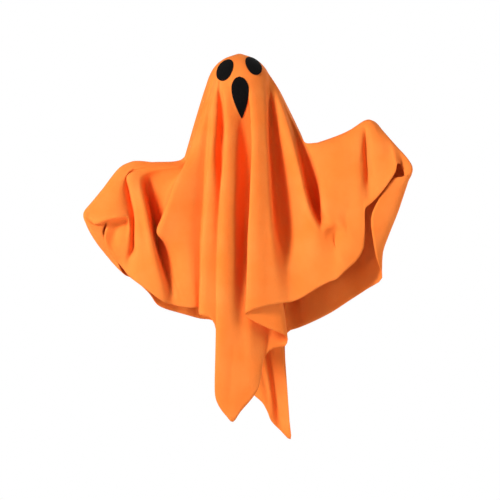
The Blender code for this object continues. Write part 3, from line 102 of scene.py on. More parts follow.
# Each fold line runs on the sheet from the crown to the hem: straight down the head to
# above its first point, and then through its points (x, y, z).
FOLD_LINES = {
    "front_tail_tip": ((-0.8, -51.5, -59.5), (0.8, -52, -83.9), (2.9, -52, -105.1),
        (3.3, -53, -141), (2.1, -57, -181.7), (0.8, -61, -230.6), (0.2, -66, -279.5),
        (-0.8, -72, -336.6), (-0.8, -80, -401.8), (-2.4, -86, -475.1), (-6.5, -85, -548.5),
        (-10.3, -82, -596.6)),
    "valley_bc": ((5.7, -51, -59.5), (7.3, -51, -83.9), (9.8, -49, -124.7), (9.9, -49, -157.3),
        (9, -50, -198), (8, -53, -246.9), (6.7, -58, -295.8), (5.7, -65, -344.7),
        (6.4, -75, -401.8), (6.5, -83, -467), (4.9, -84, -532.2), (2.4, -81, -579.5)),
    "under_c": ((10.6, -50, -59.5), (15.5, -49, -83.9), (17.8, -47, -124.7), (18.6, -48, -157.3),
        (17.4, -50, -198), (15.8, -53, -246.9), (13.2, -58, -295.8), (12.2, -64, -344.7),
        (14.7, -73, -401.8), (18.7, -80, -458.8), (20.4, -82, -515.9), (20.7, -80, -558.3)),
    "inner_1": ((11.9, -50, -59.5), (16, -49, -83.9), (19.1, -47, -124.7), (20, -46, -157.3),
        (19.7, -47, -198), (19.4, -49, -246.9), (20.4, -52, -295.8), (23.6, -56, -344.7),
        (30.2, -61, -401.8), (35, -66, -458.8), (35.9, -73, -499.6), (31.8, -76, -538.7)),
    "inner_2": ((13, -50, -59.5), (16.3, -49.5, -83.9), (20, -47, -124.7), (21.4, -45, -157.3),
        (22.3, -45, -198), (24, -46, -246.9), (28.5, -48, -295.8), (36.7, -51, -344.7),
        (44.8, -52, -401.8), (46.5, -52, -450.7), (39.1, -66, -496.3)),
    "inner_3": ((13.9, -50, -59.5), (16.6, -50, -83.9), (20.7, -48, -124.7), (22.3, -46, -157.3),
        (24.3, -45, -198), (27.5, -46, -246.9), (35, -47, -295.8), (46.5, -49, -344.7),
        (57.9, -48, -401.8), (61.1, -47, -442.5), (54.6, -57, -479.2)),
    "inner_fold": ((14.5, -50, -59.5), (17.1, -51, -83.9), (21.2, -51, -124.7),
        (23.3, -50, -157.3), (25.6, -50, -198), (29.5, -50, -246.9), (39.1, -51, -295.8),
        (53, -52, -344.7), (66.8, -50, -401.8), (72.5, -49, -442.5), (73.8, -55, -475.1)),
    "flap_fold": ((15.2, -50, -59.5), (17.4, -53, -83.9), (21, -56, -124.7), (23, -58, -157.3),
        (24.6, -60, -198), (27.9, -62, -246.9), (36.7, -64, -295.8), (50.5, -66, -344.7),
        (66.5, -68, -398.5), (71.7, -70, -431.1), (75, -72, -458.5)),
    "flap": ((15.8, -50, -59.5), (17.8, -55, -83.9), (20.4, -62, -124.7), (21.7, -67, -157.3),
        (21.4, -72, -198), (22, -76, -246.9), (27.7, -79, -295.8), (36.7, -81, -344.7),
        (44.8, -83, -401.8), (44, -84, -445)),
    "ridge_c_lip": ((16.5, -50, -59.5), (18.1, -57, -83.9), (19.4, -67, -124.7),
        (19.9, -77, -157.3), (18.4, -86, -198), (16.5, -92, -246.9), (13.9, -95, -295.8),
        (12.6, -96, -344.7), (11.2, -96, -385.5), (9, -95, -424.6)),
    "ridge_c": ((21.2, -49, -59.5), (23.6, -58, -83.9), (26.6, -70, -124.7), (27.5, -80, -157.3),
        (26.9, -89, -198), (26.6, -95, -246.9), (26.9, -98, -304), (27.4, -99, -361),
        (28.5, -97, -414.2)),
    "ridge_c_right": ((31, -44, -59.5), (34.2, -53, -83.9), (36.7, -65, -124.7),
        (38.3, -74, -157.3), (39.6, -83, -198), (41.2, -89, -246.9), (43.2, -92, -304),
        (45.2, -94, -361), (47.3, -93, -409.6)),
    "ridge_c_right_lip": ((39.6, -37, -59.5), (42.5, -45, -83.9), (44.2, -57, -124.7),
        (45.8, -66, -157.3), (48.1, -74, -198), (51.3, -80, -246.9), (54.9, -86, -295.8),
        (60.3, -89, -352.9), (67.6, -88, -406)),
    "valley_cd_left": ((44, -27, -59.5), (46.1, -26, -83.9), (47.4, -33, -124.7),
        (49.4, -34, -157.3), (53, -36, -198), (57.2, -41, -246.9), (63.6, -54, -295.8),
        (72.5, -70, -339.9), (77.4, -78, -372.5), (79.1, -84, -404.2)),
    "valley_cd": ((47.8, -20.5, -59.5), (51.3, -17, -82.3), (54.3, -24, -124.7),
        (57.5, -27, -157.3), (62.8, -29, -198), (70.1, -34, -246.9), (79.1, -46, -291),
        (85.6, -68, -339.9), (88.8, -76, -369.2), (89.6, -83, -401.5)),
    "valley_cd_right": ((50.7, -19, -59.5), (55.6, -23, -83.9), (61.5, -30, -124.7),
        (66.3, -35, -157.3), (73.8, -41, -198), (83.9, -50, -246.9), (93.7, -62, -291),
        (99.4, -72, -339.9), (101.9, -78, -369.2), (101.9, -83, -396.1)),
    "ridge_d_left": ((53.6, -17, -59.5), (60, -26, -83.9), (67.6, -40, -124.7),
        (74.2, -50, -157.3), (83.1, -60, -198), (95.4, -69, -246.9), (104.3, -75, -281.2),
        (110, -75, -308.9), (113.3, -77, -339.9), (114.9, -83, -387.9)),
    "ridge_d": ((56.6, -15.5, -59.5), (64.4, -28, -83.9), (74.2, -45, -124.7),
        (83.1, -58, -157.3), (93.7, -71, -198), (104.3, -81, -243.7), (113.3, -87, -271.4),
        (120.6, -84, -291), (125.5, -80, -315.4), (128, -80, -343.1), (128, -84, -379.8)),
    "ridge_d_right": ((58.8, -14, -59.5), (68.5, -26, -83.9), (80.7, -42, -121.4),
        (89.6, -54, -152.4), (98.6, -66, -189.9), (106.4, -75, -225.8), (113.6, -81, -251.8),
        (124.7, -88, -280.4), (132, -83, -297.5), (139.4, -80, -318.7), (143.4, -81, -341.5),
        (143.4, -85, -371.6)),
    "valley_de": ((60.5, -12.5, -59.5), (70.9, -20, -83.9), (83.9, -25, -118.2),
        (93.7, -28, -145.9), (100.9, -28, -170.3), (108.1, -29, -202.9), (114.9, -32, -232.3),
        (120.5, -40, -251.8), (126.7, -61, -268.9), (133.7, -86, -284.4), (140.2, -81, -299.1),
        (147.5, -80, -317), (154, -83, -336.6), (156.5, -87, -366.8)),
    "wing_lip_under": ((61.1, -11.5, -59.5), (72.5, -18, -83.9), (86.9, -23, -114.9),
        (99.4, -27, -142.6), (107.6, -30, -160.6), (116.5, -33, -183.4), (125.5, -38, -212.7),
        (129.6, -46, -237.2), (131.2, -56, -253.5), (133.3, -72, -268.1), (140.2, -86, -282),
        (147.5, -80, -291), (152.4, -80, -312.1), (160.6, -87, -336.6), (167.1, -88, -356.2)),
    "wing_lip": ((61.1, -11, -57.9), (73.5, -17, -83.9), (84.4, -22, -108.4), (96, -27, -129.6),
        (104, -34, -145.1), (110.8, -46, -157.3), (119.5, -54, -176.9), (128, -63, -206.2),
        (131.7, -71, -230.6), (133.2, -78, -248.6), (137.7, -84, -261.6), (148.3, -88, -275.5),
        (156.5, -79, -291), (154, -79, -308.9), (163.8, -89, -331.7), (177.7, -89, -346.9)),
    "wing_1": ((61.5, -8.9, -57.9), (74, -14.6, -83.9), (85.1, -19.6, -108.4),
        (96.4, -24.9, -129.6), (104.8, -36, -145.6), (114.9, -50, -154), (128, -60, -173.6),
        (139.4, -70, -202.9), (145.1, -79, -233.9), (150, -85, -256.7), (158.1, -89, -273),
        (168.7, -89, -291.8), (166.3, -87, -308.9), (173.6, -90, -325.2), (189.1, -90, -335.8)),
    "wing_2": ((61.9, -6.8, -57.9), (74.5, -12.2, -83.9), (85.7, -17.2, -108.4),
        (96.8, -22.8, -129.6), (105.5, -37, -145.9), (119.8, -51, -151.6), (141, -63, -167.1),
        (154, -74, -198), (159.7, -81, -230.6), (163.8, -86, -255.1), (169.5, -87, -269.8),
        (176.9, -91, -291), (183.4, -92, -308.9), (198, -91, -320.3)),
    "wing_3": ((62.2, -4.7, -57.9), (75, -9.8, -83.9), (86.3, -14.8, -108.4),
        (97.2, -20.7, -129.6), (105.9, -37, -146.4), (123.1, -50, -149.1), (152.4, -64, -158.9),
        (172, -76, -186.6), (177.7, -83, -222.5), (180.1, -88, -251.8), (183.4, -91, -274.7),
        (191.5, -93, -295.8), (200.7, -92, -304)),
    "wing_4": ((62.5, -2.9, -57.9), (75.4, -7.7, -83.9), (86.9, -12.7, -108.4),
        (97.5, -18.9, -129.6), (106.4, -37, -146.9), (126.3, -49, -147.5), (160.6, -63, -150),
        (185, -76, -173.6), (191.5, -84, -206.2), (194, -90, -238.8), (196.4, -93, -263.2),
        (201.3, -94, -281.2)),
    "wing_valley_left": ((62.8, -1.5, -57.9), (75.7, -6.1, -83.9), (87.3, -11.1, -108.4),
        (97.8, -17.5, -129.6), (106.8, -37, -147.4), (128, -47, -146.9), (165.4, -60, -141.8),
        (193.2, -72, -142.6), (198, -74, -170.3), (200.5, -80, -202.9), (199.7, -88, -230.6),
        (201.3, -94, -255.1)),
    "wing_valley": ((63, -0.4, -57.9), (76, -4.8, -83.9), (87.7, -9.8, -108.4),
        (98, -16.4, -129.6), (107.1, -37, -147.7), (129.6, -46, -146.4), (167.1, -58, -137.1),
        (198.9, -64, -124.7), (203.3, -65, -144.3), (204.6, -65, -168.7), (207, -72, -199.7),
        (209.5, -83, -222.5), (211.1, -95, -245.3)),
    "wing_5": ((63.2, 0.6, -57.9), (76.2, -3.7, -83.9), (88, -8.7, -108.4), (98.2, -15.4, -129.6),
        (107.4, -37, -148.2), (131.2, -45, -145.9), (168.7, -56, -134.5), (201.3, -64, -119),
        (210.3, -74, -136.1), (213.5, -80, -165.4), (217.6, -87, -198), (222.5, -97, -233.9)),
    "wing_6": ((63.3, 1.5, -57.9), (76.4, -2.8, -83.9), (88.2, -7.8, -108.4),
        (98.3, -14.5, -129.6), (107.7, -36, -148.5), (131.2, -44, -145.7), (170.3, -54, -132.5),
        (204.6, -63, -114.9), (219.2, -74, -129.6), (228.2, -84, -158.9), (233.1, -91, -185),
        (235.5, -100, -217.6)),
    "wing_7": ((63.4, 2.2, -57.9), (76.6, -2, -83.9), (88.4, -7, -108.4), (98.5, -13.8, -129.6),
        (108.1, -36, -148.8), (131.2, -43, -145.6), (172, -52, -131.2), (206.2, -61, -112.3),
        (224.9, -71, -128.6), (238.8, -82, -154), (245.3, -93, -175.2), (249.1, -103, -196.4)),
    "hand_hem": ((63.5, 2.6, -57.9), (76.7, -1.5, -83.9), (88.5, -6.5, -108.4),
        (98.5, -13.4, -129.6), (108.4, -35, -149.1), (131.2, -42, -145.4), (172, -50, -130.7),
        (207, -59, -111.3), (228.2, -68, -128.3), (242.1, -78, -146.7), (247.8, -90, -162.2),
        (252.6, -103, -182.6)),
    "right_arm": ((63.6, 3, -57.9), (76.8, -1, -83.9), (88.7, -6, -108.4), (98.6, -13, -129.6),
        (108.9, -34, -149.5), (131.2, -40, -145.2), (172, -48, -130.2), (208.6, -56, -110.7),
        (229.8, -65, -127.6), (248.6, -77, -150), (259.2, -86, -163.8), (260, -90, -184.2)),
    "hand": ((63.4, 6, -57.9), (76.4, 3, -83.9), (88, -2, -108.4), (98.3, -9, -129.6),
        (109.2, -29, -149.6), (131.2, -36, -145.4), (172, -44, -130.6), (210.3, -51, -110.8),
        (231.5, -60, -128.8), (251.8, -72, -152.9), (268.1, -84, -172), (277.1, -97, -187.4),
        (271.4, -100, -197.2), (264.1, -98, -202.1)),
    "hand_back": ((63.1, 10, -57.9), (75.6, 8, -83.9), (86.9, 4, -108.4), (97.5, -3, -131.2),
        (110, -22, -150.8), (131.2, -30, -146.7), (172, -38, -132.2), (210.3, -44, -112.6),
        (231.5, -53, -130.4), (251.8, -64, -154.5), (269.8, -77, -176), (277.9, -90, -191.2),
        (268.1, -98, -207.8), (247.8, -97, -205.4)),
    "strip_1": ((62.1, 13, -57.9), (74.2, 13, -83.9), (84.9, 10, -108.4), (95.8, 4, -134.5),
        (110.8, -14, -154), (134.5, -22, -152.4), (172, -29, -139.4), (206.2, -34, -121.4),
        (227.4, -43, -139.4), (246.9, -54, -162.2), (264.9, -68, -185), (273.5, -82, -199.7),
        (262.4, -94, -220.9), (233.1, -95, -224.9)),
    "strip_2": ((60.5, 16, -57.9), (71.9, 18, -83.9), (82.3, 16, -108.4), (93.4, 10, -137.7),
        (111.7, -8, -160.6), (139.4, -13, -162.2), (172, -19, -152.4), (201.3, -24, -137.7),
        (220, -31, -155.7), (239.6, -40, -178.5), (256.7, -55, -202.9), (265.7, -74, -222.5),
        (254.3, -90, -245.3), (219.2, -92, -246.9)),
    "strip_3": ((58.2, 20, -57.9), (69.3, 23, -83.9), (79.1, 22, -110), (91.8, 16, -142.6),
        (113.3, 0, -168.7), (144.3, -4, -173.6), (172, -9, -167.1), (194.8, -13, -157.3),
        (212.7, -19, -175.2), (230.6, -26, -199.7), (246.1, -40, -225.8), (255.9, -62, -248.6),
        (246.9, -84, -270.6), (211.1, -90, -270.6)),
    "strip_4": ((55.6, 23.5, -57.9), (66, 27, -83.9), (75.8, 28, -111.7), (90.1, 23, -147.5),
        (114.9, 8, -176.9), (145.9, 4, -186.6), (168.7, 0, -185), (187.4, -4, -180.1),
        (203.8, -8, -199.7), (220, -15, -225.8), (234.7, -30, -255.1), (244.5, -52, -277.9),
        (238, -78, -297.5), (214.7, -88, -304)),
    "strip_5": ((52.6, 27, -57.9), (62.4, 31.5, -83.9), (71.7, 33, -113.3), (88, 28, -152.4),
        (114.9, 16, -186.6), (144.3, 12, -201.3), (163.8, 8, -204.6), (179.3, 6, -204.6),
        (194, 2, -225.8), (207.8, -6, -253.5), (221.7, -22, -286.1), (231.5, -48, -308.9),
        (229.8, -72, -326.8), (220, -82, -331.7)),
    "right_corner": ((50.2, 28, -57.9), (59.5, 33, -83.9), (68.5, 36, -114.9), (84.8, 35, -157.3),
        (113.3, 24, -196.4), (139.4, 19, -216), (157.3, 16, -224.1), (171.1, 13, -230.6),
        (184.2, 8, -253.5), (196.4, 1, -281.2), (209.5, -14, -313.8), (222.5, -42, -339.9),
        (229.8, -66, -365.1)),
    "right_back_1": ((46.5, 32, -57.9), (55.1, 38, -83.9), (63.6, 42, -114.9), (80.7, 43, -160.6),
        (108.4, 33, -206.2), (132.8, 27, -232.3), (149.1, 23, -248.6), (162.2, 19, -261.6),
        (172.8, 14, -284.4), (183.4, 6, -313.8), (196.4, -12, -349.6), (207, -38, -383)),
    "right_back_2": ((42.4, 36, -57.9), (49.7, 42, -83.9), (57.9, 47, -114.9), (75, 44, -163.8),
        (101.9, 30, -216), (123.1, 22, -248.6), (137.7, 18, -274.7), (149.1, 14, -300.7),
        (158.9, 8, -330.1), (167.1, -2, -359.4), (179.3, -20, -401.8)),
    "right_back_3": ((38, 39, -57.9), (44, 46, -83.9), (51.3, 52, -114.9), (66.8, 56, -163.8),
        (90.5, 50, -219.2), (108.4, 46, -258.4), (121.4, 42, -294.2), (131.2, 36, -330.1),
        (139.4, 24, -369.2), (149.1, 4, -422.3)),
    "right_back_4": ((33.1, 42, -57.9), (38, 49, -83.9), (44, 53, -114.9), (57.9, 46, -163.8),
        (79.1, 30, -222.5), (94.5, 24, -264.9), (105.1, 22, -307.3), (113.3, 22, -352.9),
        (119, 22, -438.1)),
    "back_ridge_1": ((27.7, 45, -57.9), (31.5, 52, -83.9), (36.7, 60, -114.9), (48.9, 70, -163.8),
        (66.8, 76, -222.5), (80.7, 80, -271.4), (88.8, 80, -320.3), (94.5, 70, -377.3),
        (97, 40, -447.8)),
    "back_valley_1": ((22, 47, -57.9), (24.9, 52, -83.9), (29, 52, -114.9), (39.1, 42, -163.8),
        (53.8, 34, -222.5), (66, 32, -274.7), (74.2, 36, -328.4), (78.2, 44, -385.5),
        (78.7, 52, -456.2)),
    "tail_side": ((16.3, 49, -57.9), (18.4, 55, -83.9), (21.4, 65, -114.9), (29.3, 78, -163.8),
        (40.8, 86, -222.5), (52.2, 90, -279.5), (62.8, 86, -339.9), (69.3, 76, -401.8),
        (74.2, 62, -483.3)),
    "tail_edge": ((11.4, 50, -57.9), (12.7, 54, -83.9), (14.7, 54, -114.9), (20.4, 46, -163.8),
        (29.3, 38, -222.5), (39.9, 36, -284.4), (51.3, 42, -349.6), (63.6, 54, -421.4),
        (72.5, 62, -483.3), (77.9, 62, -542)),
    "tail_right": ((7.3, 51, -57.9), (8, 57, -83.9), (9, 66, -114.9), (13, 80, -163.8),
        (20.4, 88, -222.5), (30.2, 92, -287.7), (43.2, 86, -361), (59.5, 68, -434.4),
        (68.6, 66, -502.9), (76.6, 65, -561.5), (82, 64, -600.7)),
    "back_tail_tip": ((3.7, 51.5, -57.9), (3.7, 55, -83.9), (4.1, 55, -114.9), (6.7, 47, -163.8),
        (12.2, 39, -222.5), (21.2, 38, -291), (35, 46, -369.2), (51.3, 70, -450.7),
        (62.1, 77, -524), (71.9, 75, -581.1), (83.9, 64, -632.1)),
    "tail_fold": ((0, 51.8, -57.9), (-0.3, 57, -83.9), (-0.8, 67, -114.9), (0, 82, -163.8),
        (3.3, 90, -222.5), (10.6, 94, -291), (23.6, 92, -372.5), (42.4, 86, -454),
        (54.6, 84, -528.9), (61.9, 82, -581.1), (67.6, 77, -618.6)),
    "tail_left_1": ((-3.7, 51.8, -57.9), (-4.7, 55, -83.9), (-5.7, 55, -114.9),
        (-6.8, 47, -163.8), (-5.7, 39, -222.5), (0, 38, -291), (12.2, 46, -372.5),
        (31.5, 66, -454), (45.8, 71, -528.9), (53, 72, -572.9), (52.2, 70, -602.3)),
    "tail_left_2": ((-7.3, 51.5, -57.9), (-9, 57, -83.9), (-10.6, 67, -114.9),
        (-13.4, 82, -163.8), (-14.2, 90, -222.5), (-10.6, 94, -291), (0.8, 92, -372.5),
        (18.7, 84, -450.7), (35, 76, -515.9), (44, 72, -556.6), (45.6, 70, -586.8)),
    "back_valley_2": ((-11.4, 51, -57.9), (-13.9, 54, -83.9), (-16.3, 54, -114.9),
        (-20.7, 46, -163.8), (-23.6, 38, -222.5), (-22, 36, -291), (-12.2, 42, -372.5),
        (4.1, 56, -444.2), (20.4, 66, -502.9), (36.7, 70, -571.3)),
    "back_ridge_2": ((-15.8, 50, -57.9), (-18.7, 56, -83.9), (-22, 65, -114.9),
        (-27.7, 80, -163.8), (-32.6, 88, -222.5), (-33.4, 92, -291), (-26.1, 90, -369.2),
        (-12.2, 84, -437.7), (2.4, 78, -491.4), (20.4, 74, -556.6)),
    "back_valley_3": ((-20.7, 48, -57.9), (-24.4, 52, -83.9), (-28.5, 52, -114.9),
        (-35.9, 44, -163.8), (-42.4, 38, -222.5), (-44.8, 36, -291), (-39.9, 42, -365.9),
        (-29.3, 54, -426.2), (-17.1, 64, -475.1), (-2.4, 72, -527.3)),
    "back_ridge_3": ((-25.6, 46, -57.9), (-30.2, 52, -83.9), (-35, 60, -114.9), (-44, 72, -163.8),
        (-52.2, 80, -222.5), (-56.2, 84, -291), (-53.8, 82, -361), (-48.1, 78, -401.8),
        (-39.9, 76, -431.1), (-30.2, 74, -457.2)),
    "back_valley_4": ((-30.6, 43, -57.9), (-36.2, 47, -83.9), (-41.9, 48, -114.9),
        (-52.2, 42, -163.8), (-61.9, 36, -222.5), (-67.6, 36, -291), (-67.6, 42, -352.9),
        (-57.9, 52, -401.8), (-44, 64, -436.8)),
    "back_ridge_4": ((-35.5, 39, -57.9), (-42.1, 43, -83.9), (-48.9, 50, -114.9),
        (-60.3, 60, -163.8), (-71.7, 66, -222.5), (-79.9, 70, -287.7), (-82.3, 68, -343.1),
        (-79.1, 66, -385.5), (-64.4, 66, -433.6)),
    "back_valley_5": ((-40.3, 35, -57.9), (-47.6, 38, -83.9), (-55.1, 40, -114.9),
        (-67.6, 38, -163.8), (-81.5, 34, -222.5), (-92.1, 34, -284.4), (-97, 38, -333.3),
        (-95.4, 44, -369.2), (-83.9, 56, -428.2)),
    "left_back_4": ((-44.3, 30, -57.9), (-52.5, 32, -83.9), (-61.1, 36, -116.5),
        (-75, 42, -163.8), (-91.3, 46, -222.5), (-105.1, 50, -279.5), (-111.7, 52, -320.3),
        (-110.8, 54, -352.9), (-103.5, 52, -422.5)),
    "left_back_3": ((-48.1, 25, -57.9), (-56.6, 26, -83.9), (-66, 26, -118.2),
        (-80.7, 24, -163.8), (-101.1, 24, -219.2), (-117.4, 28, -271.4), (-125.5, 30, -307.3),
        (-126.3, 32, -339.9), (-121.4, 36, -416.8)),
    "left_back_2": ((-51, 19, -57.9), (-59.8, 19, -83.9), (-70.1, 17, -119.8),
        (-83.9, 12, -163.8), (-111.7, 16, -212.7), (-131.2, 24, -260), (-140.2, 28, -292.6),
        (-141.8, 30, -323.6), (-135.3, 26, -409.1)),
    "left_back_1": ((-53, 13, -57.9), (-61.8, 12, -83.9), (-72.9, 7, -121.4), (-86.4, -3, -165.4),
        (-121.4, 0, -206.2), (-145.1, 6, -248.6), (-155.7, 10, -279.5), (-158.9, 12, -308.9),
        (-145.9, 10, -392.8)),
    "left_corner_2": ((-54.3, 8, -57.9), (-63.1, 6, -83.9), (-74.5, -1, -123.1),
        (-87.5, -14, -167.1), (-129.6, -15, -199.7), (-158.9, -12, -235.5), (-171.1, -9, -263.2),
        (-176, -9, -295.8), (-158.9, -8, -379)),
    "left_corner": ((-54.9, 4, -57.9), (-63.7, 1, -83.9), (-75.3, -7, -123.9),
        (-88.3, -22, -168.7), (-134.5, -27, -193.2), (-169.5, -28, -220.9), (-185, -27, -250.2),
        (-193.2, -29, -286.1), (-188.3, -32, -330.1), (-173.6, -30, -365.9)),
    "cuff_1": ((-55.3, 1, -57.9), (-64.1, -2, -83.9), (-75.6, -11, -124.7), (-88.8, -28, -170.3),
        (-137.7, -36, -186.6), (-176.9, -40, -207.8), (-197.2, -42, -238.8),
        (-211.9, -46, -277.9), (-213.5, -52, -313.8), (-201.3, -56, -343.1),
        (-187.4, -62, -357.8)),
    "cuff_2": ((-55.4, 0, -57.9), (-64.1, -4, -83.9), (-75.8, -14, -124.7), (-89.2, -32, -171.1),
        (-141, -43, -182.6), (-180.9, -49, -197.2), (-206.2, -54, -229), (-227.4, -58, -264.9),
        (-232.3, -62, -294.2), (-220.9, -70, -320.3), (-198.4, -74, -334.6)),
    "cuff_3": ((-55.4, -2, -56.2), (-64.1, -5, -83.9), (-76, -17, -124.7), (-89.3, -35, -171.6),
        (-142.6, -48, -180.1), (-182.6, -56, -190.7), (-211.1, -64, -222.5),
        (-236.3, -72, -253.5), (-245.3, -78, -273), (-233.9, -86, -300.7), (-209.1, -84, -316.2)),
    "cuff_4": ((-55.4, -2.5, -56.2), (-64.1, -6, -83.9), (-76, -18, -124.7), (-89.5, -36, -172),
        (-143.4, -52, -179.1), (-183.4, -60, -186.6), (-213.5, -70, -220), (-240.4, -80, -251.8),
        (-248.6, -90, -264.9), (-241.2, -95, -284.4), (-215.6, -90, -301.5)),
    "left_arm": ((-55.4, -3, -56.2), (-64.1, -7, -83.9), (-76, -19, -124.7), (-84.9, -31, -157.3),
        (-89.6, -37, -172), (-97, -42, -177.2), (-129.6, -52, -179.5), (-162.2, -60, -176.9),
        (-176.9, -64, -179.3), (-194.8, -70, -189.9), (-220.9, -80, -224.1),
        (-240.4, -90, -250.2), (-248.6, -98, -263.2), (-242.1, -100, -277.9),
        (-218.4, -92, -289.3)),
    "forearm_1": ((-54.9, -4.8, -56.2), (-63.4, -8.9, -83.9), (-75.3, -21.1, -124.7),
        (-84.4, -33, -157.3), (-89.5, -40, -173.6), (-97, -45, -178.5), (-129.6, -55, -181.4),
        (-160.6, -63, -180.9), (-176.9, -69, -185), (-193.2, -76, -198), (-216, -87, -233.9),
        (-230.6, -96, -260), (-232.3, -101, -276.3), (-229, -95, -279.5), (-216, -93, -281.2)),
    "forearm_2": ((-54.4, -6.5, -56.2), (-62.8, -10.8, -83.9), (-74.7, -23.2, -124.7),
        (-84, -35, -157.3), (-89.2, -42, -174.9), (-97, -48, -179.8), (-129.6, -57, -183),
        (-158.9, -65, -183.4), (-176, -72, -189.1), (-191.5, -79, -206.2), (-207.8, -90, -238.8),
        (-214.3, -99, -261.6), (-213.5, -104, -271.4), (-212.7, -93, -274.3),
        (-212.1, -86, -277.9)),
    "forearm_3": ((-53.9, -8.3, -56.2), (-62.1, -12.8, -83.9), (-74, -25.2, -124.7),
        (-83.5, -37, -157.3), (-88.8, -44, -176), (-97, -50, -180.9), (-129.6, -59, -184.4),
        (-158.1, -66, -185), (-175.6, -73, -191.5), (-189.9, -81, -212.7), (-198, -91, -242.1),
        (-201.3, -99, -261.6), (-201.3, -104, -269.3), (-201.3, -88, -273), (-207.8, -89, -284.4),
        (-216.6, -96, -298.3)),
    "forearm_4": ((-53.3, -10, -56.2), (-61.5, -14.7, -83.9), (-73.4, -27.3, -124.7),
        (-83, -39, -157.3), (-88.5, -46, -177.2), (-97, -52, -182.1), (-129.6, -60, -185.3),
        (-157.3, -67, -186.6), (-176.9, -73, -194), (-187.4, -80, -217.6), (-189.1, -88, -243.7),
        (-189.9, -95, -260), (-189.9, -102, -267.8), (-189.9, -86, -272.4), (-198.9, -85, -292.6),
        (-207, -91, -310.5), (-211.4, -95, -318)),
    "forearm_5": ((-52.8, -11.8, -56.2), (-60.9, -16.6, -83.9), (-72.8, -29.4, -124.7),
        (-82.5, -41, -157.3), (-88.2, -47, -178.2), (-97, -54, -183), (-129.6, -61, -186.3),
        (-157.3, -68, -188.3), (-178.5, -72, -195.6), (-184.2, -76, -220.9),
        (-180.9, -80, -245.3), (-179.3, -86, -260), (-179.3, -94, -267.5), (-179.8, -84, -273),
        (-189.1, -91, -295.8), (-195.6, -91, -317), (-201, -87, -334.1)),
    "curl": ((-52.3, -13.6, -56.2), (-60.2, -18.5, -83.9), (-72.1, -31.5, -124.7),
        (-82, -43, -157.3), (-87.9, -48, -179.1), (-97, -55, -184), (-129.6, -62, -187.3),
        (-157.3, -68, -189.9), (-177.7, -70, -196.4), (-185.8, -69, -201.3),
        (-180.1, -67, -220.9), (-175.6, -69, -240.4), (-171.5, -73, -258.4),
        (-169.5, -78, -274.7), (-176.9, -93, -297.5), (-180.1, -92, -317), (-186.6, -87, -333.3),
        (-189.1, -81, -347.2)),
    "curl_under": ((-51.8, -15.1, -56.2), (-59.7, -20.2, -83.9), (-71.6, -33.3, -124.7),
        (-81.6, -44.8, -157.3), (-87.5, -49, -180.1), (-97, -56, -185), (-129.6, -62, -188.3),
        (-156.5, -68, -191.5), (-175.2, -72, -196.4), (-182.6, -71, -203.8),
        (-178.2, -69, -220.9), (-173.9, -71, -240.4), (-170, -74, -258.4), (-168.1, -78, -274.7),
        (-168.7, -78, -297.5), (-169.4, -77, -314.6), (-176, -84, -330.1), (-178.5, -85, -346.4),
        (-178.5, -83, -361)),
    "strip_lip": ((-51.4, -16.6, -56.2), (-59.1, -21.9, -83.9), (-71, -35.1, -124.7),
        (-81.2, -46.5, -157.3), (-87.2, -50, -181.1), (-97, -57, -186), (-128, -62, -189.2),
        (-155.7, -68, -193.2), (-172.8, -75, -197.2), (-179.3, -78, -206.2), (-176, -80, -220.9),
        (-172, -83, -240.4), (-168.1, -86, -260), (-166.4, -90, -277.9), (-166.6, -92, -299.1),
        (-166.1, -92, -318.7), (-167.1, -93, -339.9), (-166.3, -92, -370.8)),
    "strip": ((-50.9, -18.2, -56.2), (-58.5, -23.6, -83.9), (-70.4, -36.9, -124.7),
        (-80.8, -48.2, -157.3), (-86.9, -51, -182.1), (-97, -57, -187.1), (-126.3, -62, -190.5),
        (-152.4, -67, -194.8), (-164.6, -74, -202.1), (-165.4, -82, -222.5),
        (-160.6, -88, -250.2), (-155.7, -92, -281.2), (-151.6, -95, -312.1),
        (-147.5, -96, -343.1), (-144.3, -93, -387.1)),
    "strip_slope": ((-50.5, -19.7, -56.2), (-58, -25.2, -83.9), (-69.9, -38.8, -124.7),
        (-80.3, -50, -157.3), (-86.6, -52, -183.4), (-97, -57, -188.6), (-124.7, -61, -192.3),
        (-148.3, -64, -198), (-157.3, -70, -207.8), (-155.7, -78, -225.8), (-148.8, -86, -255.1),
        (-142.6, -91, -287.7), (-136.9, -94, -317), (-129.6, -95, -349.6), (-123.9, -93, -377.3),
        (-123.1, -91, -402.6)),
    "left_valley": ((-50, -21.3, -56.2), (-57.4, -26.9, -83.9), (-69.3, -40.6, -124.7),
        (-79.9, -51.8, -157.3), (-86.2, -53, -185), (-97.8, -57, -190.7), (-121.4, -60, -195.6),
        (-143.4, -57, -202.9), (-150, -48, -212.7), (-149.8, -40, -229), (-144.3, -34, -255.1),
        (-138.4, -34, -284.4), (-133.7, -41, -313.8), (-123.9, -55, -344.7),
        (-114.1, -71, -375.7), (-110, -81, -407)),
    "left_valley_side": ((-49.6, -22.8, -56.2), (-56.9, -28.6, -83.9), (-68.8, -42.4, -124.7),
        (-79.5, -53.5, -157.3), (-85.7, -55, -187.4), (-98.6, -58, -194), (-119.8, -59, -201.3),
        (-132.8, -54, -214.3), (-136.1, -47, -233.9), (-134.5, -43, -260), (-131.2, -42, -286.1),
        (-127.1, -47, -313.8), (-116.5, -61, -344.7), (-105.9, -75, -377.3), (-97, -80, -410.4)),
    "left_edge_back": ((-49.2, -23.9, -56.2), (-56.5, -29.8, -83.9), (-68.4, -43.7, -124.7),
        (-79.2, -54.8, -157.3), (-85.2, -57, -188.3), (-96.2, -60, -201.3), (-110, -60, -219.2),
        (-117.4, -57, -242.1), (-123.9, -54, -266.5), (-128, -53, -287.7), (-122.2, -55, -308.9),
        (-115.6, -61, -330.1), (-107.6, -70, -356.2), (-97.8, -77, -383.9), (-90.5, -80, -411.6)),
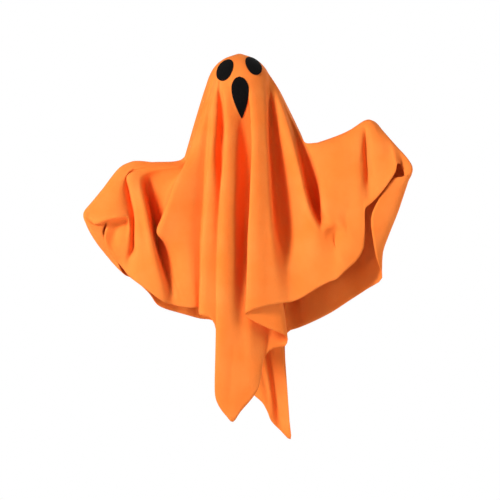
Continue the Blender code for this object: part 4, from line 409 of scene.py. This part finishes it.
    "left_edge": ((-48.9, -25, -56.2), (-56.1, -31, -83.9), (-68, -45, -124.7),
        (-78.9, -56, -157.3), (-85.6, -66, -176.9), (-93.7, -74, -193.2), (-103.5, -82, -212.7),
        (-113.3, -88, -238.8), (-123.9, -91, -268.1), (-132.4, -92, -291.8), (-119, -76, -308.9),
        (-110, -71, -330.1), (-101.1, -75, -357.8), (-91.3, -79, -387.1), (-83.9, -80, -412.7)),
    "left_slope": ((-44.8, -28, -56.2), (-53, -35, -83.9), (-63.6, -49, -124.7),
        (-72.5, -61, -157.3), (-80.7, -71, -181.7), (-90.5, -82, -209.5), (-100.2, -89, -242.1),
        (-109.2, -90, -274.7), (-111.7, -88, -297.5), (-99.4, -80, -330.1), (-89.6, -80, -362.7),
        (-75.8, -80, -413.2)),
    "left_panel": ((-42.4, -34, -56.2), (-51.3, -40, -83.9), (-59.5, -53, -124.7),
        (-64.4, -63, -157.3), (-69.3, -72, -189.9), (-73.3, -79, -230.6), (-77.4, -81, -271.4),
        (-79.1, -82, -312.1), (-75.8, -82, -352.9), (-69.3, -78, -412.6)),
    "left_tuck": ((-40.8, -38, -56.2), (-46.5, -42, -83.9), (-50.5, -52, -124.7),
        (-52.2, -60, -157.3), (-53.8, -66, -189.9), (-54.9, -70, -230.6), (-57.9, -72, -271.4),
        (-60.6, -73, -312.1), (-61.5, -74, -352.9), (-65, -74, -413.2)),
    "ridge_a_lip": ((-39.9, -40, -56.2), (-45.6, -46, -83.9), (-47.6, -57, -124.7),
        (-49.4, -67, -157.3), (-51.7, -75, -189.9), (-54.3, -81, -230.6), (-57.2, -84, -271.4),
        (-60.3, -86, -312.1), (-61.8, -87, -352.9), (-64.4, -86, -423)),
    "ridge_a": ((-38.3, -42, -56.2), (-41.9, -49, -83.9), (-43.2, -61, -124.7),
        (-44.5, -71, -157.3), (-46.8, -79, -189.9), (-49.7, -85, -230.6), (-52.2, -88, -271.4),
        (-54.6, -90, -312.1), (-55.4, -91, -352.9), (-55.4, -90, -426.2)),
    "ridge_a_right": ((-35.9, -44, -56.2), (-36, -48, -83.9), (-36.7, -58, -124.7),
        (-39, -67, -157.3), (-39.4, -76, -189.9), (-39.9, -83, -230.6), (-42.4, -87, -271.4),
        (-44.8, -89, -312.1), (-46, -90, -352.9), (-46.5, -90, -429.5)),
    "valley_ab": ((-32.3, -43, -56.2), (-31.5, -41, -70.9), (-30.6, -40, -88.8),
        (-31.1, -44, -124.7), (-32.1, -54, -157.3), (-31.3, -63, -189.9), (-32.1, -74, -222.5),
        (-34.1, -81, -255.1), (-36.2, -85, -295.8), (-37.8, -88, -344.7), (-37.8, -89, -401.8),
        (-37.8, -88, -447.4)),
    "under_b": ((-29.2, -45, -56.2), (-26.9, -43, -70.9), (-24.6, -42, -88.8), (-24, -46, -124.7),
        (-25.3, -56, -157.3), (-27.2, -65, -189.9), (-29.8, -75, -222.5), (-31.1, -82, -255.1),
        (-32.8, -86, -295.8), (-34.6, -89, -344.7), (-36.2, -90, -401.8), (-38.3, -88, -493.1)),
    "ridge_b_lip": ((-26.9, -46.5, -56.2), (-25.3, -50.5, -70.9), (-23.6, -56, -88.8),
        (-23.3, -65, -124.7), (-24.6, -75, -157.3), (-26.9, -82, -189.9), (-29.5, -87, -222.5),
        (-30.5, -89, -255.1), (-30.8, -91, -295.8), (-32.1, -92, -344.7), (-33.7, -92, -418.1),
        (-36.3, -90, -483.3), (-39.6, -87, -538.7)),
    "ridge_b": ((-21.2, -48.5, -56.2), (-18.7, -56.5, -83.9), (-17.8, -69, -124.7),
        (-18.4, -79, -157.3), (-20, -87, -198), (-22, -92, -246.9), (-23, -94, -304),
        (-24.6, -94, -385.5), (-28.5, -92, -475.1), (-35, -88, -532.2), (-38.3, -86, -557.5)),
    "ridge_b_right": ((-13.9, -50, -59.5), (-11.4, -54, -83.9), (-9.3, -65, -124.7),
        (-9.3, -74, -157.3), (-10.6, -83, -198), (-11.6, -88, -246.9), (-12.6, -90, -304),
        (-13.9, -91, -385.5), (-17.1, -90, -475.1), (-24.4, -88, -545.2), (-31.8, -85, -572.9)),
    "tail_left": ((-6.5, -51, -59.5), (-4.9, -53, -83.9), (-2.4, -59, -124.7),
        (-3.1, -67, -157.3), (-4.4, -76, -198), (-5.4, -81, -246.9), (-6, -84, -304),
        (-7.3, -87, -385.5), (-9.8, -88, -475.1), (-15.5, -86, -548.5), (-21.2, -83, -586.8)),
}

# The left forearm's lower fold crosses these lines at their 13th point. Those points share one
# row of the mesh, at EDGE_SHARE of the line, which keeps the fold's edge crisp.
EDGE_LINES = ("forearm_1", "forearm_2", "forearm_3", "forearm_4", "forearm_5")
EDGE_POINT = 13
EDGE_SHARE = 0.86

# Steps in each gap between a line's points, and the length over which all lines keep pace
LINE_STEPS = 16
EVEN_REACH = 0.30


def smooth_through(padded, steps):
    """A smooth line through the padded points, of which the first and last only steer it."""
    fine = []
    for a, b, c, d in zip(padded, padded[1:], padded[2:], padded[3:]):
        for t in np.arange(steps) / steps:
            fine.append(0.5 * (2 * b + (c - a) * t + (2 * a - 5 * b + 4 * c - d) * t ** 2
                               + (3 * b - a - 3 * c + d) * t ** 3))
    return fine


def smooth_line(lead, points, count, edge=None):
    """A smooth line on from lead through the points, as count points along it.

    They keep about the same distance on every line, and the rest of a longer line is spread
    over the last of them. With edge, that point is put at the share EDGE_SHARE of the line.
    """
    points = np.asarray(points, float)
    padded = np.vstack([lead, points, 2 * points[-1] - points[-2]])
    fine = np.array(smooth_through(padded, LINE_STEPS) + [points[-1]])
    along = np.concatenate([[0], np.cumsum(np.linalg.norm(np.diff(fine, axis=0), axis=1))])
    share = np.linspace(0, 1, count)
    stops = EVEN_REACH * share + (along[-1] - EVEN_REACH) * share ** 2
    if edge is not None:
        stops = np.interp(stops, [0, EDGE_SHARE * along[-1], along[-1]],
                          [0, along[LINE_STEPS * edge], along[-1]])
    return np.stack([np.interp(stops, along, fine[:, axis]) for axis in range(3)], axis=1)


def head_point(angle, wrap):
    """A point of the sheet on the head, wrap radians down from the crown."""
    radius = HEAD_RADIUS + SKIN
    peak = CROWN_PEAK * math.exp(-(wrap * radius / (4 * CROWN_PEAK)) ** 2)
    return HEAD_CENTRE + Vector((
        radius * math.sin(wrap) * math.sin(angle),
        -radius * math.sin(wrap) * math.cos(angle),
        radius * math.cos(wrap) + peak,
    ))


def apply_modifiers(piece):
    """Applies each of the piece's modifiers in turn."""
    bpy.ops.object.select_all(action="DESELECT")
    piece.select_set(True)
    bpy.context.view_layer.objects.active = piece
    for modifier in list(piece.modifiers):
        bpy.ops.object.modifier_apply(modifier=modifier.name)
    piece.select_set(False)


def link_piece(name, mesh, paint):
    """A new smooth-shaded piece of this mesh and finish."""
    piece = bpy.data.objects.new(name, mesh)
    bpy.context.scene.collection.objects.link(piece)
    mesh.materials.append(paint)
    mesh.shade_smooth()
    return piece


class Finish:
    """A finish on Blender's Principled shader, with short ways to add and wire its nodes."""

    def __init__(self, name, **constants):
        self.material = bpy.data.materials.new(name)
        self.material.use_nodes = True
        self.tree = self.material.node_tree
        self.shader = self.tree.nodes["Principled BSDF"]
        for socket, value in constants.items():
            self.shader.inputs[socket.replace("_", " ")].default_value = value

    def node(self, kind, **settings):
        """A new node; each setting is one of its sockets, or else one of its options."""
        made = self.tree.nodes.new(kind)
        for key, value in settings.items():
            socket = key.replace("_", " ")
            if socket in made.inputs:
                made.inputs[socket].default_value = value
            else:
                setattr(made, key, value)
        return made

    def wire(self, source, target):
        self.tree.links.new(source, target)

    def feed(self, socket, source):
        """Wires source into the shader's own socket of this name."""
        self.wire(source, self.shader.inputs[socket])

    def coordinates(self, socket, scale=(1, 1, 1)):
        where = self.node("ShaderNodeTexCoord")
        mapping = self.node("ShaderNodeMapping", Scale=scale)
        self.wire(where.outputs[socket], mapping.inputs["Vector"])
        return mapping.outputs["Vector"]

    def noise(self, place, scale, detail=3, roughness=0.5):
        made = self.node("ShaderNodeTexNoise", Scale=scale, Detail=detail, Roughness=roughness)
        self.wire(place, made.inputs["Vector"])
        return made.outputs["Fac"]

    def ramp(self, factor, stops):
        made = self.node("ShaderNodeValToRGB")
        points = made.color_ramp.elements
        while len(points) < len(stops):
            points.new(0.5)
        for point, (where, colour) in zip(points, stops):
            point.position = where
            point.color = (*colour, 1)
        self.wire(factor, made.inputs["Fac"])
        return made.outputs["Color"]

    def span(self, factor, low, high):
        made = self.node("ShaderNodeMapRange", To_Min=low, To_Max=high)
        self.wire(factor, made.inputs["Value"])
        return made.outputs["Result"]

    def bump(self, height, distance, strength, under=None):
        made = self.node("ShaderNodeBump", Distance=distance, Strength=strength)
        self.wire(height, made.inputs["Height"])
        if under is not None:
            self.wire(under, made.inputs["Normal"])
        return made.outputs["Normal"]


def orange_fabric():
    """Soft brushed fabric: a fine plain weave under a short nap, with faint clouds and creases."""
    paint = Finish("orange_fabric", Roughness=0.9, Specular_IOR_Level=0.15,
                   Sheen_Weight=0.18, Sheen_Roughness=0.45, Sheen_Tint=(1.0, 0.38, 0.11, 1))
    cloth = paint.coordinates("UV")
    solid = paint.coordinates("Object")
    clouds = paint.noise(solid, 22, detail=4)
    nap = paint.noise(solid, 330, detail=5, roughness=0.7)
    colour = paint.ramp(clouds, [(0.25, (1.0, 0.215, 0.028)), (0.75, (1.0, 0.262, 0.048))])
    weave = paint.node("ShaderNodeMath", operation="MULTIPLY")
    for direction, crossed in zip("XY", weave.inputs):
        threads = paint.node("ShaderNodeTexWave", wave_type="BANDS", bands_direction=direction,
                             Scale=330, Distortion=0.6, Detail_Scale=40)
        paint.wire(cloth, threads.inputs["Vector"])
        paint.wire(threads.outputs["Fac"], crossed)
    fleck = paint.node("ShaderNodeMix", data_type="RGBA", blend_type="MULTIPLY")
    fleck.inputs[0].default_value = 0.22
    paint.wire(colour, fleck.inputs[6])
    paint.wire(paint.ramp(nap, [(0.3, (0.80, 0.72, 0.66)), (0.7, (1, 1, 1))]), fleck.inputs[7])
    paint.feed("Base Color", fleck.outputs[2])
    paint.feed("Roughness", paint.span(nap, 0.84, 0.96))
    creases = paint.noise(solid, 34, detail=3, roughness=0.55)
    creased = paint.bump(creases, 0.0030, strength=0.35)
    woven = paint.bump(weave.outputs[0], 0.00014, strength=0.6, under=creased)
    paint.feed("Normal", paint.bump(nap, 0.00022, strength=0.55, under=woven))
    return paint.material


def black_felt():
    """Pressed felt: matted fibres, no shine."""
    paint = Finish("black_felt", Roughness=0.95, Specular_IOR_Level=0.05,
                   Sheen_Weight=0.02, Sheen_Roughness=0.6, Sheen_Tint=(0.7, 0.7, 0.7, 1))
    solid = paint.coordinates("Object")
    fibres = paint.noise(solid, 700, detail=6, roughness=0.7)
    mats = paint.noise(solid, 160)
    paint.feed("Base Color", paint.ramp(fibres, [(0.30, (0.001, 0.001, 0.001)),
                                                 (0.75, (0.007, 0.006, 0.006))]))
    paint.feed("Roughness", paint.span(mats, 0.9, 1.0))
    soft = paint.bump(mats, 0.0003, strength=0.35)
    paint.feed("Normal", paint.bump(fibres, 0.0002, strength=0.6, under=soft))
    return paint.material


def white_foam():
    """Bead foam: rounded cells with fine seams between them."""
    paint = Finish("white_foam", Roughness=0.65, Specular_IOR_Level=0.3,
                   Subsurface_Weight=0.08, Subsurface_Scale=0.004)
    solid = paint.coordinates("Object")
    cells = paint.node("ShaderNodeTexVoronoi", feature="DISTANCE_TO_EDGE", Scale=320)
    paint.wire(solid, cells.inputs["Vector"])
    seams = cells.outputs["Distance"]
    paint.feed("Base Color", paint.ramp(seams, [(0.0, (0.70, 0.70, 0.68)),
                                                (0.12, (0.84, 0.84, 0.82))]))
    paint.feed("Roughness", paint.span(paint.noise(solid, 500, detail=2), 0.55, 0.75))
    paint.feed("Normal", paint.bump(seams, 0.0004, strength=0.6))
    return paint.material


def drawn_wire():
    """Bright steel wire with the long scratches that its drawing leaves and a few dull spots."""
    paint = Finish("drawn_wire", Metallic=1.0, Roughness=0.3)
    solid = paint.coordinates("Object")
    spots = paint.noise(solid, 120, detail=4, roughness=0.6)
    drawn = paint.coordinates("Object", (1, 14, 14))
    scratches = paint.noise(drawn, 220, detail=3, roughness=0.6)
    paint.feed("Base Color", paint.ramp(spots, [(0.30, (0.40, 0.39, 0.38)),
                                                (0.62, (0.62, 0.62, 0.63))]))
    paint.feed("Roughness", paint.span(scratches, 0.22, 0.48))
    paint.feed("Normal", paint.bump(scratches, 0.00005, strength=0.4))
    return paint.material


def head_angle(route):
    """The angle round the head above a fold line's first point, from the front towards +X."""
    return math.atan2(route[0][0], -route[0][1])


def sheet_grid():
    """The cloth's points, in rows from the crown to the hem and columns round the ghost."""
    first_wrap = CROWN_HOLE_RADIUS / HEAD_RADIUS
    columns = []
    for name, route in FOLD_LINES.items():
        angle = head_angle(route)
        on_head = [head_point(angle, wrap)
                   for wrap in np.linspace(first_wrap, HEAD_WRAP, HEAD_ROWS)]
        lead = head_point(angle, LEAD_WRAP)
        edge = EDGE_POINT if name in EDGE_LINES else None
        below = smooth_line(lead, [on_head[-1], *(Vector(point) * MM for point in route)],
                            BODY_ROWS, edge)
        columns.append(np.vstack([np.array(on_head), below[1:]]))
    rows = []
    for line in np.array(columns).swapaxes(0, 1):
        rows.append(smooth_through(np.vstack([line[-1:], line, line[:2]]), COLUMNS_PER_FOLD))
    return np.array(rows)


def rest_on_head(points):
    """Moves what would sink into the head out to the skin around it."""
    centre = np.array(HEAD_CENTRE)
    offset = points - centre
    reach = np.linalg.norm(offset, axis=-1, keepdims=True)
    least = HEAD_RADIUS + SKIN
    return np.where(reach < least, centre + offset / reach * least, points)


def flat_places(grid):
    """Where each point of the grid lies on the flat cloth, as shares of its side, crown at 0.5.

    The square stands on its front corner, so the tails' shares lie under 0 and over 1.
    """
    steps = np.linalg.norm(np.diff(grid, axis=0), axis=2)
    along = np.vstack([np.zeros((1, grid.shape[1])), np.cumsum(steps, axis=0)])
    angles = np.unwrap([head_angle(route) for route in FOLD_LINES.values()])
    angles = np.append(angles, angles[0] + math.tau)
    turn = np.interp(np.arange(grid.shape[1]) / COLUMNS_PER_FOLD, np.arange(len(angles)), angles)
    reach = (along + CROWN_HOLE_RADIUS) / CLOTH_SIDE
    return np.stack([0.5 + reach * np.sin(turn), 0.5 - reach * np.cos(turn)], axis=2)


def make_sheet(paint):
    """The one square of cloth, draped, with its flat shape as its UV map."""
    grid = rest_on_head(sheet_grid())
    flat = flat_places(grid)
    rows, columns = grid.shape[:2]
    faces = []
    for row in range(rows - 1):
        for column in range(columns):
            after = (column + 1) % columns
            faces.append((row * columns + column, (row + 1) * columns + column,
                          (row + 1) * columns + after, row * columns + after))
    mesh = bpy.data.meshes.new("draped_sheet")
    mesh.from_pydata([tuple(point) for point in grid.reshape(-1, 3)], [], faces)
    mesh.update()
    layer = mesh.uv_layers.new(name="flat_cloth")
    places = flat.reshape(-1, 2)
    for loop in mesh.loops:
        layer.data[loop.index].uv = places[loop.vertex_index]
    sheet = link_piece("draped_sheet", mesh, paint)
    wall = sheet.modifiers.new("Thickness", "SOLIDIFY")
    wall.thickness = CLOTH_THICKNESS
    wall.offset = 0
    apply_modifiers(sheet)
    return sheet


def oval():
    """The outline of an eye round its middle, as (across, up) points."""
    return [(EYE_WIDTH / 2 * math.cos(angle), EYE_HEIGHT / 2 * math.sin(angle))
            for angle in np.linspace(0, math.tau, EYE_POINTS, endpoint=False)]


def teardrop():
    """The outline of the mouth from its round top down to its point and up again."""
    right = []
    for share in np.linspace(0, 1, MOUTH_STEPS)[1:-1]:
        width = MOUTH_WIDTH / 2 * math.sin(math.pi * share ** MOUTH_ROUNDNESS) ** MOUTH_FULLNESS
        right.append((width, -share * MOUTH_LENGTH))
    return [(0, 0)] + right + [(0, -MOUTH_LENGTH)] + [(-x, z) for x, z in reversed(right)]


def filled(outline):
    """A middle point, then rings of points that grow to the outline."""
    outline = np.array(outline)
    middle = outline.mean(axis=0)
    return [middle] + [middle + (spot - middle) * ring / PATCH_RINGS
                       for ring in range(1, PATCH_RINGS + 1) for spot in outline]


def eye_spots(surface, turn, roll, twist):
    """Places and normals on the sheet under an eye, aimed at the middle of the head.

    The eye sits turn away from the front, towards roll from straight up, and its long axis
    leans by twist from the line that runs from the front through the eye.
    """
    up = Vector((math.sin(roll) * math.cos(turn), math.sin(turn), math.cos(roll) * math.cos(turn)))
    out = Vector((math.sin(roll) * math.sin(turn), -math.cos(turn), math.cos(roll) * math.sin(turn)))
    across = up.cross(out)
    tall = up * math.cos(twist) + across * math.sin(twist)
    wide = across * math.cos(twist) - up * math.sin(twist)
    spots = []
    for x, z in filled(oval()):
        away = (out * HEAD_RADIUS + wide * x + tall * z).normalized()
        spot, normal, _, _ = surface.ray_cast(HEAD_CENTRE + away * 3 * HEAD_RADIUS, -away)
        spots.append((spot, normal))
    return spots


def mouth_spots(surface):
    """Places and normals on the sheet under the mouth, aimed straight back."""
    top = HEAD_CENTRE.z + MOUTH_TOP
    spots = []
    for x, z in filled(teardrop()):
        start = Vector((x - z * math.tan(MOUTH_LEAN), -10 * HEAD_RADIUS, top + z))
        spot, normal, _, _ = surface.ray_cast(start, Vector((0, 1, 0)))
        spots.append((spot, normal))
    return spots


def make_patch(name, spots, count, paint):
    """A felt patch that lies on these places; its cut edge is slightly rounded."""
    faces = [(0, 1 + i, 1 + (i + 1) % count) for i in range(count)]
    for inner in range(1, len(spots) - count, count):
        outer = inner + count
        faces += [(inner + i, outer + i, outer + (i + 1) % count, inner + (i + 1) % count)
                  for i in range(count)]
    mesh = bpy.data.meshes.new(name)
    mesh.from_pydata([spot + normal * FELT_LIFT for spot, normal in spots], [], faces)
    mesh.update()
    if sum(polygon.normal.y for polygon in mesh.polygons) > 0:
        mesh.flip_normals()
    patch = link_piece(name, mesh, paint)
    wall = patch.modifiers.new("Thickness", "SOLIDIFY")
    wall.thickness = FELT_THICKNESS
    wall.offset = 1
    edge = patch.modifiers.new("Soft edge", "BEVEL")
    edge.width = FELT_EDGE
    edge.segments = 2
    edge.limit_method = "ANGLE"
    edge.angle_limit = math.radians(60)
    apply_modifiers(patch)
    return patch


orange = orange_fabric()
black = black_felt()
sheet = make_sheet(orange)
surface = BVHTree.FromObject(sheet, bpy.context.evaluated_depsgraph_get())
left_eye = make_patch("left_eye_felt", eye_spots(surface, *LEFT_EYE), EYE_POINTS, black)
right_eye = make_patch("right_eye_felt", eye_spots(surface, *RIGHT_EYE), EYE_POINTS, black)
mouth = make_patch("mouth_felt", mouth_spots(surface), len(teardrop()), black)

for piece, node, slot in ((sheet, "ghost_sheet", "sheet"), (left_eye, "left_eye", "felt"),
                          (right_eye, "right_eye", "felt"), (mouth, "mouth", "felt")):
    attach(piece, "root")
    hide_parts(node)

for name, paint in (("head_ball", white_foam()), ("arm_wire", drawn_wire())):
    nodes[name].data.materials[0] = paint
nodes["hanging_wire"].data.materials[0] = nodes["arm_wire"].data.materials[0]


def pale_floor():
    """A matte floor that looks nearly white to the camera and still takes a shadow."""
    paint = Finish("pale_floor", Roughness=0.8, Specular_IOR_Level=0.2,
                   Base_Color=(0.90, 0.90, 0.90, 1))
    solid = paint.coordinates("Object")
    paint.feed("Roughness", paint.span(paint.noise(solid, 6, detail=2), 0.75, 0.85))
    seen = paint.node("ShaderNodeLightPath").outputs["Is Camera Ray"]
    glow = paint.node("ShaderNodeEmission")
    blend = paint.node("ShaderNodeMixShader")
    parts = (paint.span(seen, 0.0, 0.6), paint.shader.outputs[0], glow.outputs[0])
    for source, target in zip(parts, blend.inputs):
        paint.wire(source, target)
    paint.wire(blend.outputs[0], paint.tree.nodes["Material Output"].inputs["Surface"])
    return paint.material


bpy.ops.mesh.primitive_circle_add(vertices=96, radius=FLOOR_RADIUS, fill_type="NGON",
                                  location=(0, 0, FLOOR_HEIGHT))
floor = bpy.context.object
floor.name = "floor"
floor.data.materials.append(pale_floor())
bpy.ops.object.select_all(action="DESELECT")

# A weak, even light. The camera, reflections and clear pieces see plain white in its place.
world = bpy.data.worlds.new("studio")
bpy.context.scene.world = world
world.use_nodes = True
tree = world.node_tree
soft = tree.nodes["Background"]
white = tree.nodes.new("ShaderNodeBackground")
for backdrop, strength in ((soft, STUDIO_LIGHT), (white, 1.0)):
    backdrop.inputs["Color"].default_value = (1, 1, 1, 1)
    backdrop.inputs["Strength"].default_value = strength
path = tree.nodes.new("ShaderNodeLightPath")
seen = path.outputs["Is Camera Ray"]
for ray in ("Is Glossy Ray", "Is Transmission Ray"):
    either = tree.nodes.new("ShaderNodeMath")
    either.operation = "MAXIMUM"
    tree.links.new(seen, either.inputs[0])
    tree.links.new(path.outputs[ray], either.inputs[1])
    seen = either.outputs[0]
mix = tree.nodes.new("ShaderNodeMixShader")
for source, target in zip((seen, soft.outputs[0], white.outputs[0]), mix.inputs):
    tree.links.new(source, target)
tree.links.new(mix.outputs[0], tree.nodes["World Output"].inputs["Surface"])


def softbox(name, place, energy, size):
    """A square soft light of this many watts and this side, aimed at the ghost's middle."""
    lamp = bpy.data.lights.new(name, "AREA")
    lamp.energy = energy
    lamp.size = size
    holder = bpy.data.objects.new(name, lamp)
    bpy.context.scene.collection.objects.link(holder)
    holder.location = place
    aim = GHOST_MIDDLE - Vector(place)
    holder.rotation_euler = aim.to_track_quat("-Z", "Y").to_euler()


softbox("key_softbox", (-1.7, -1.8, 0.85), 78, 0.6)
softbox("low_softbox", (-1.3, -1.8, -1.1), 22, 0.8)
softbox("side_softbox", (2.3, -0.45, 0.1), 20, 1.0)
softbox("back_softbox", (1.3, 2.1, 0.6), 30, 1.2)

camera = bpy.data.cameras.new("camera")
camera.lens = LENS
camera.sensor_width = SENSOR
viewer = bpy.data.objects.new("camera", camera)
bpy.context.scene.collection.objects.link(viewer)
half_view = IMAGE_SIZE * METRES_PER_PIXEL / 2
viewer.location = (
    (IMAGE_SIZE / 2 - CROWN_PIXEL[0]) * METRES_PER_PIXEL,
    -half_view * LENS / (SENSOR / 2),
    -(IMAGE_SIZE / 2 - CROWN_PIXEL[1]) * METRES_PER_PIXEL,
)
viewer.rotation_euler = (math.radians(90), 0, 0)
camera.clip_end = FAR_CLIP
bpy.context.scene.camera = viewer
bpy.context.scene.view_settings.view_transform = "Standard"
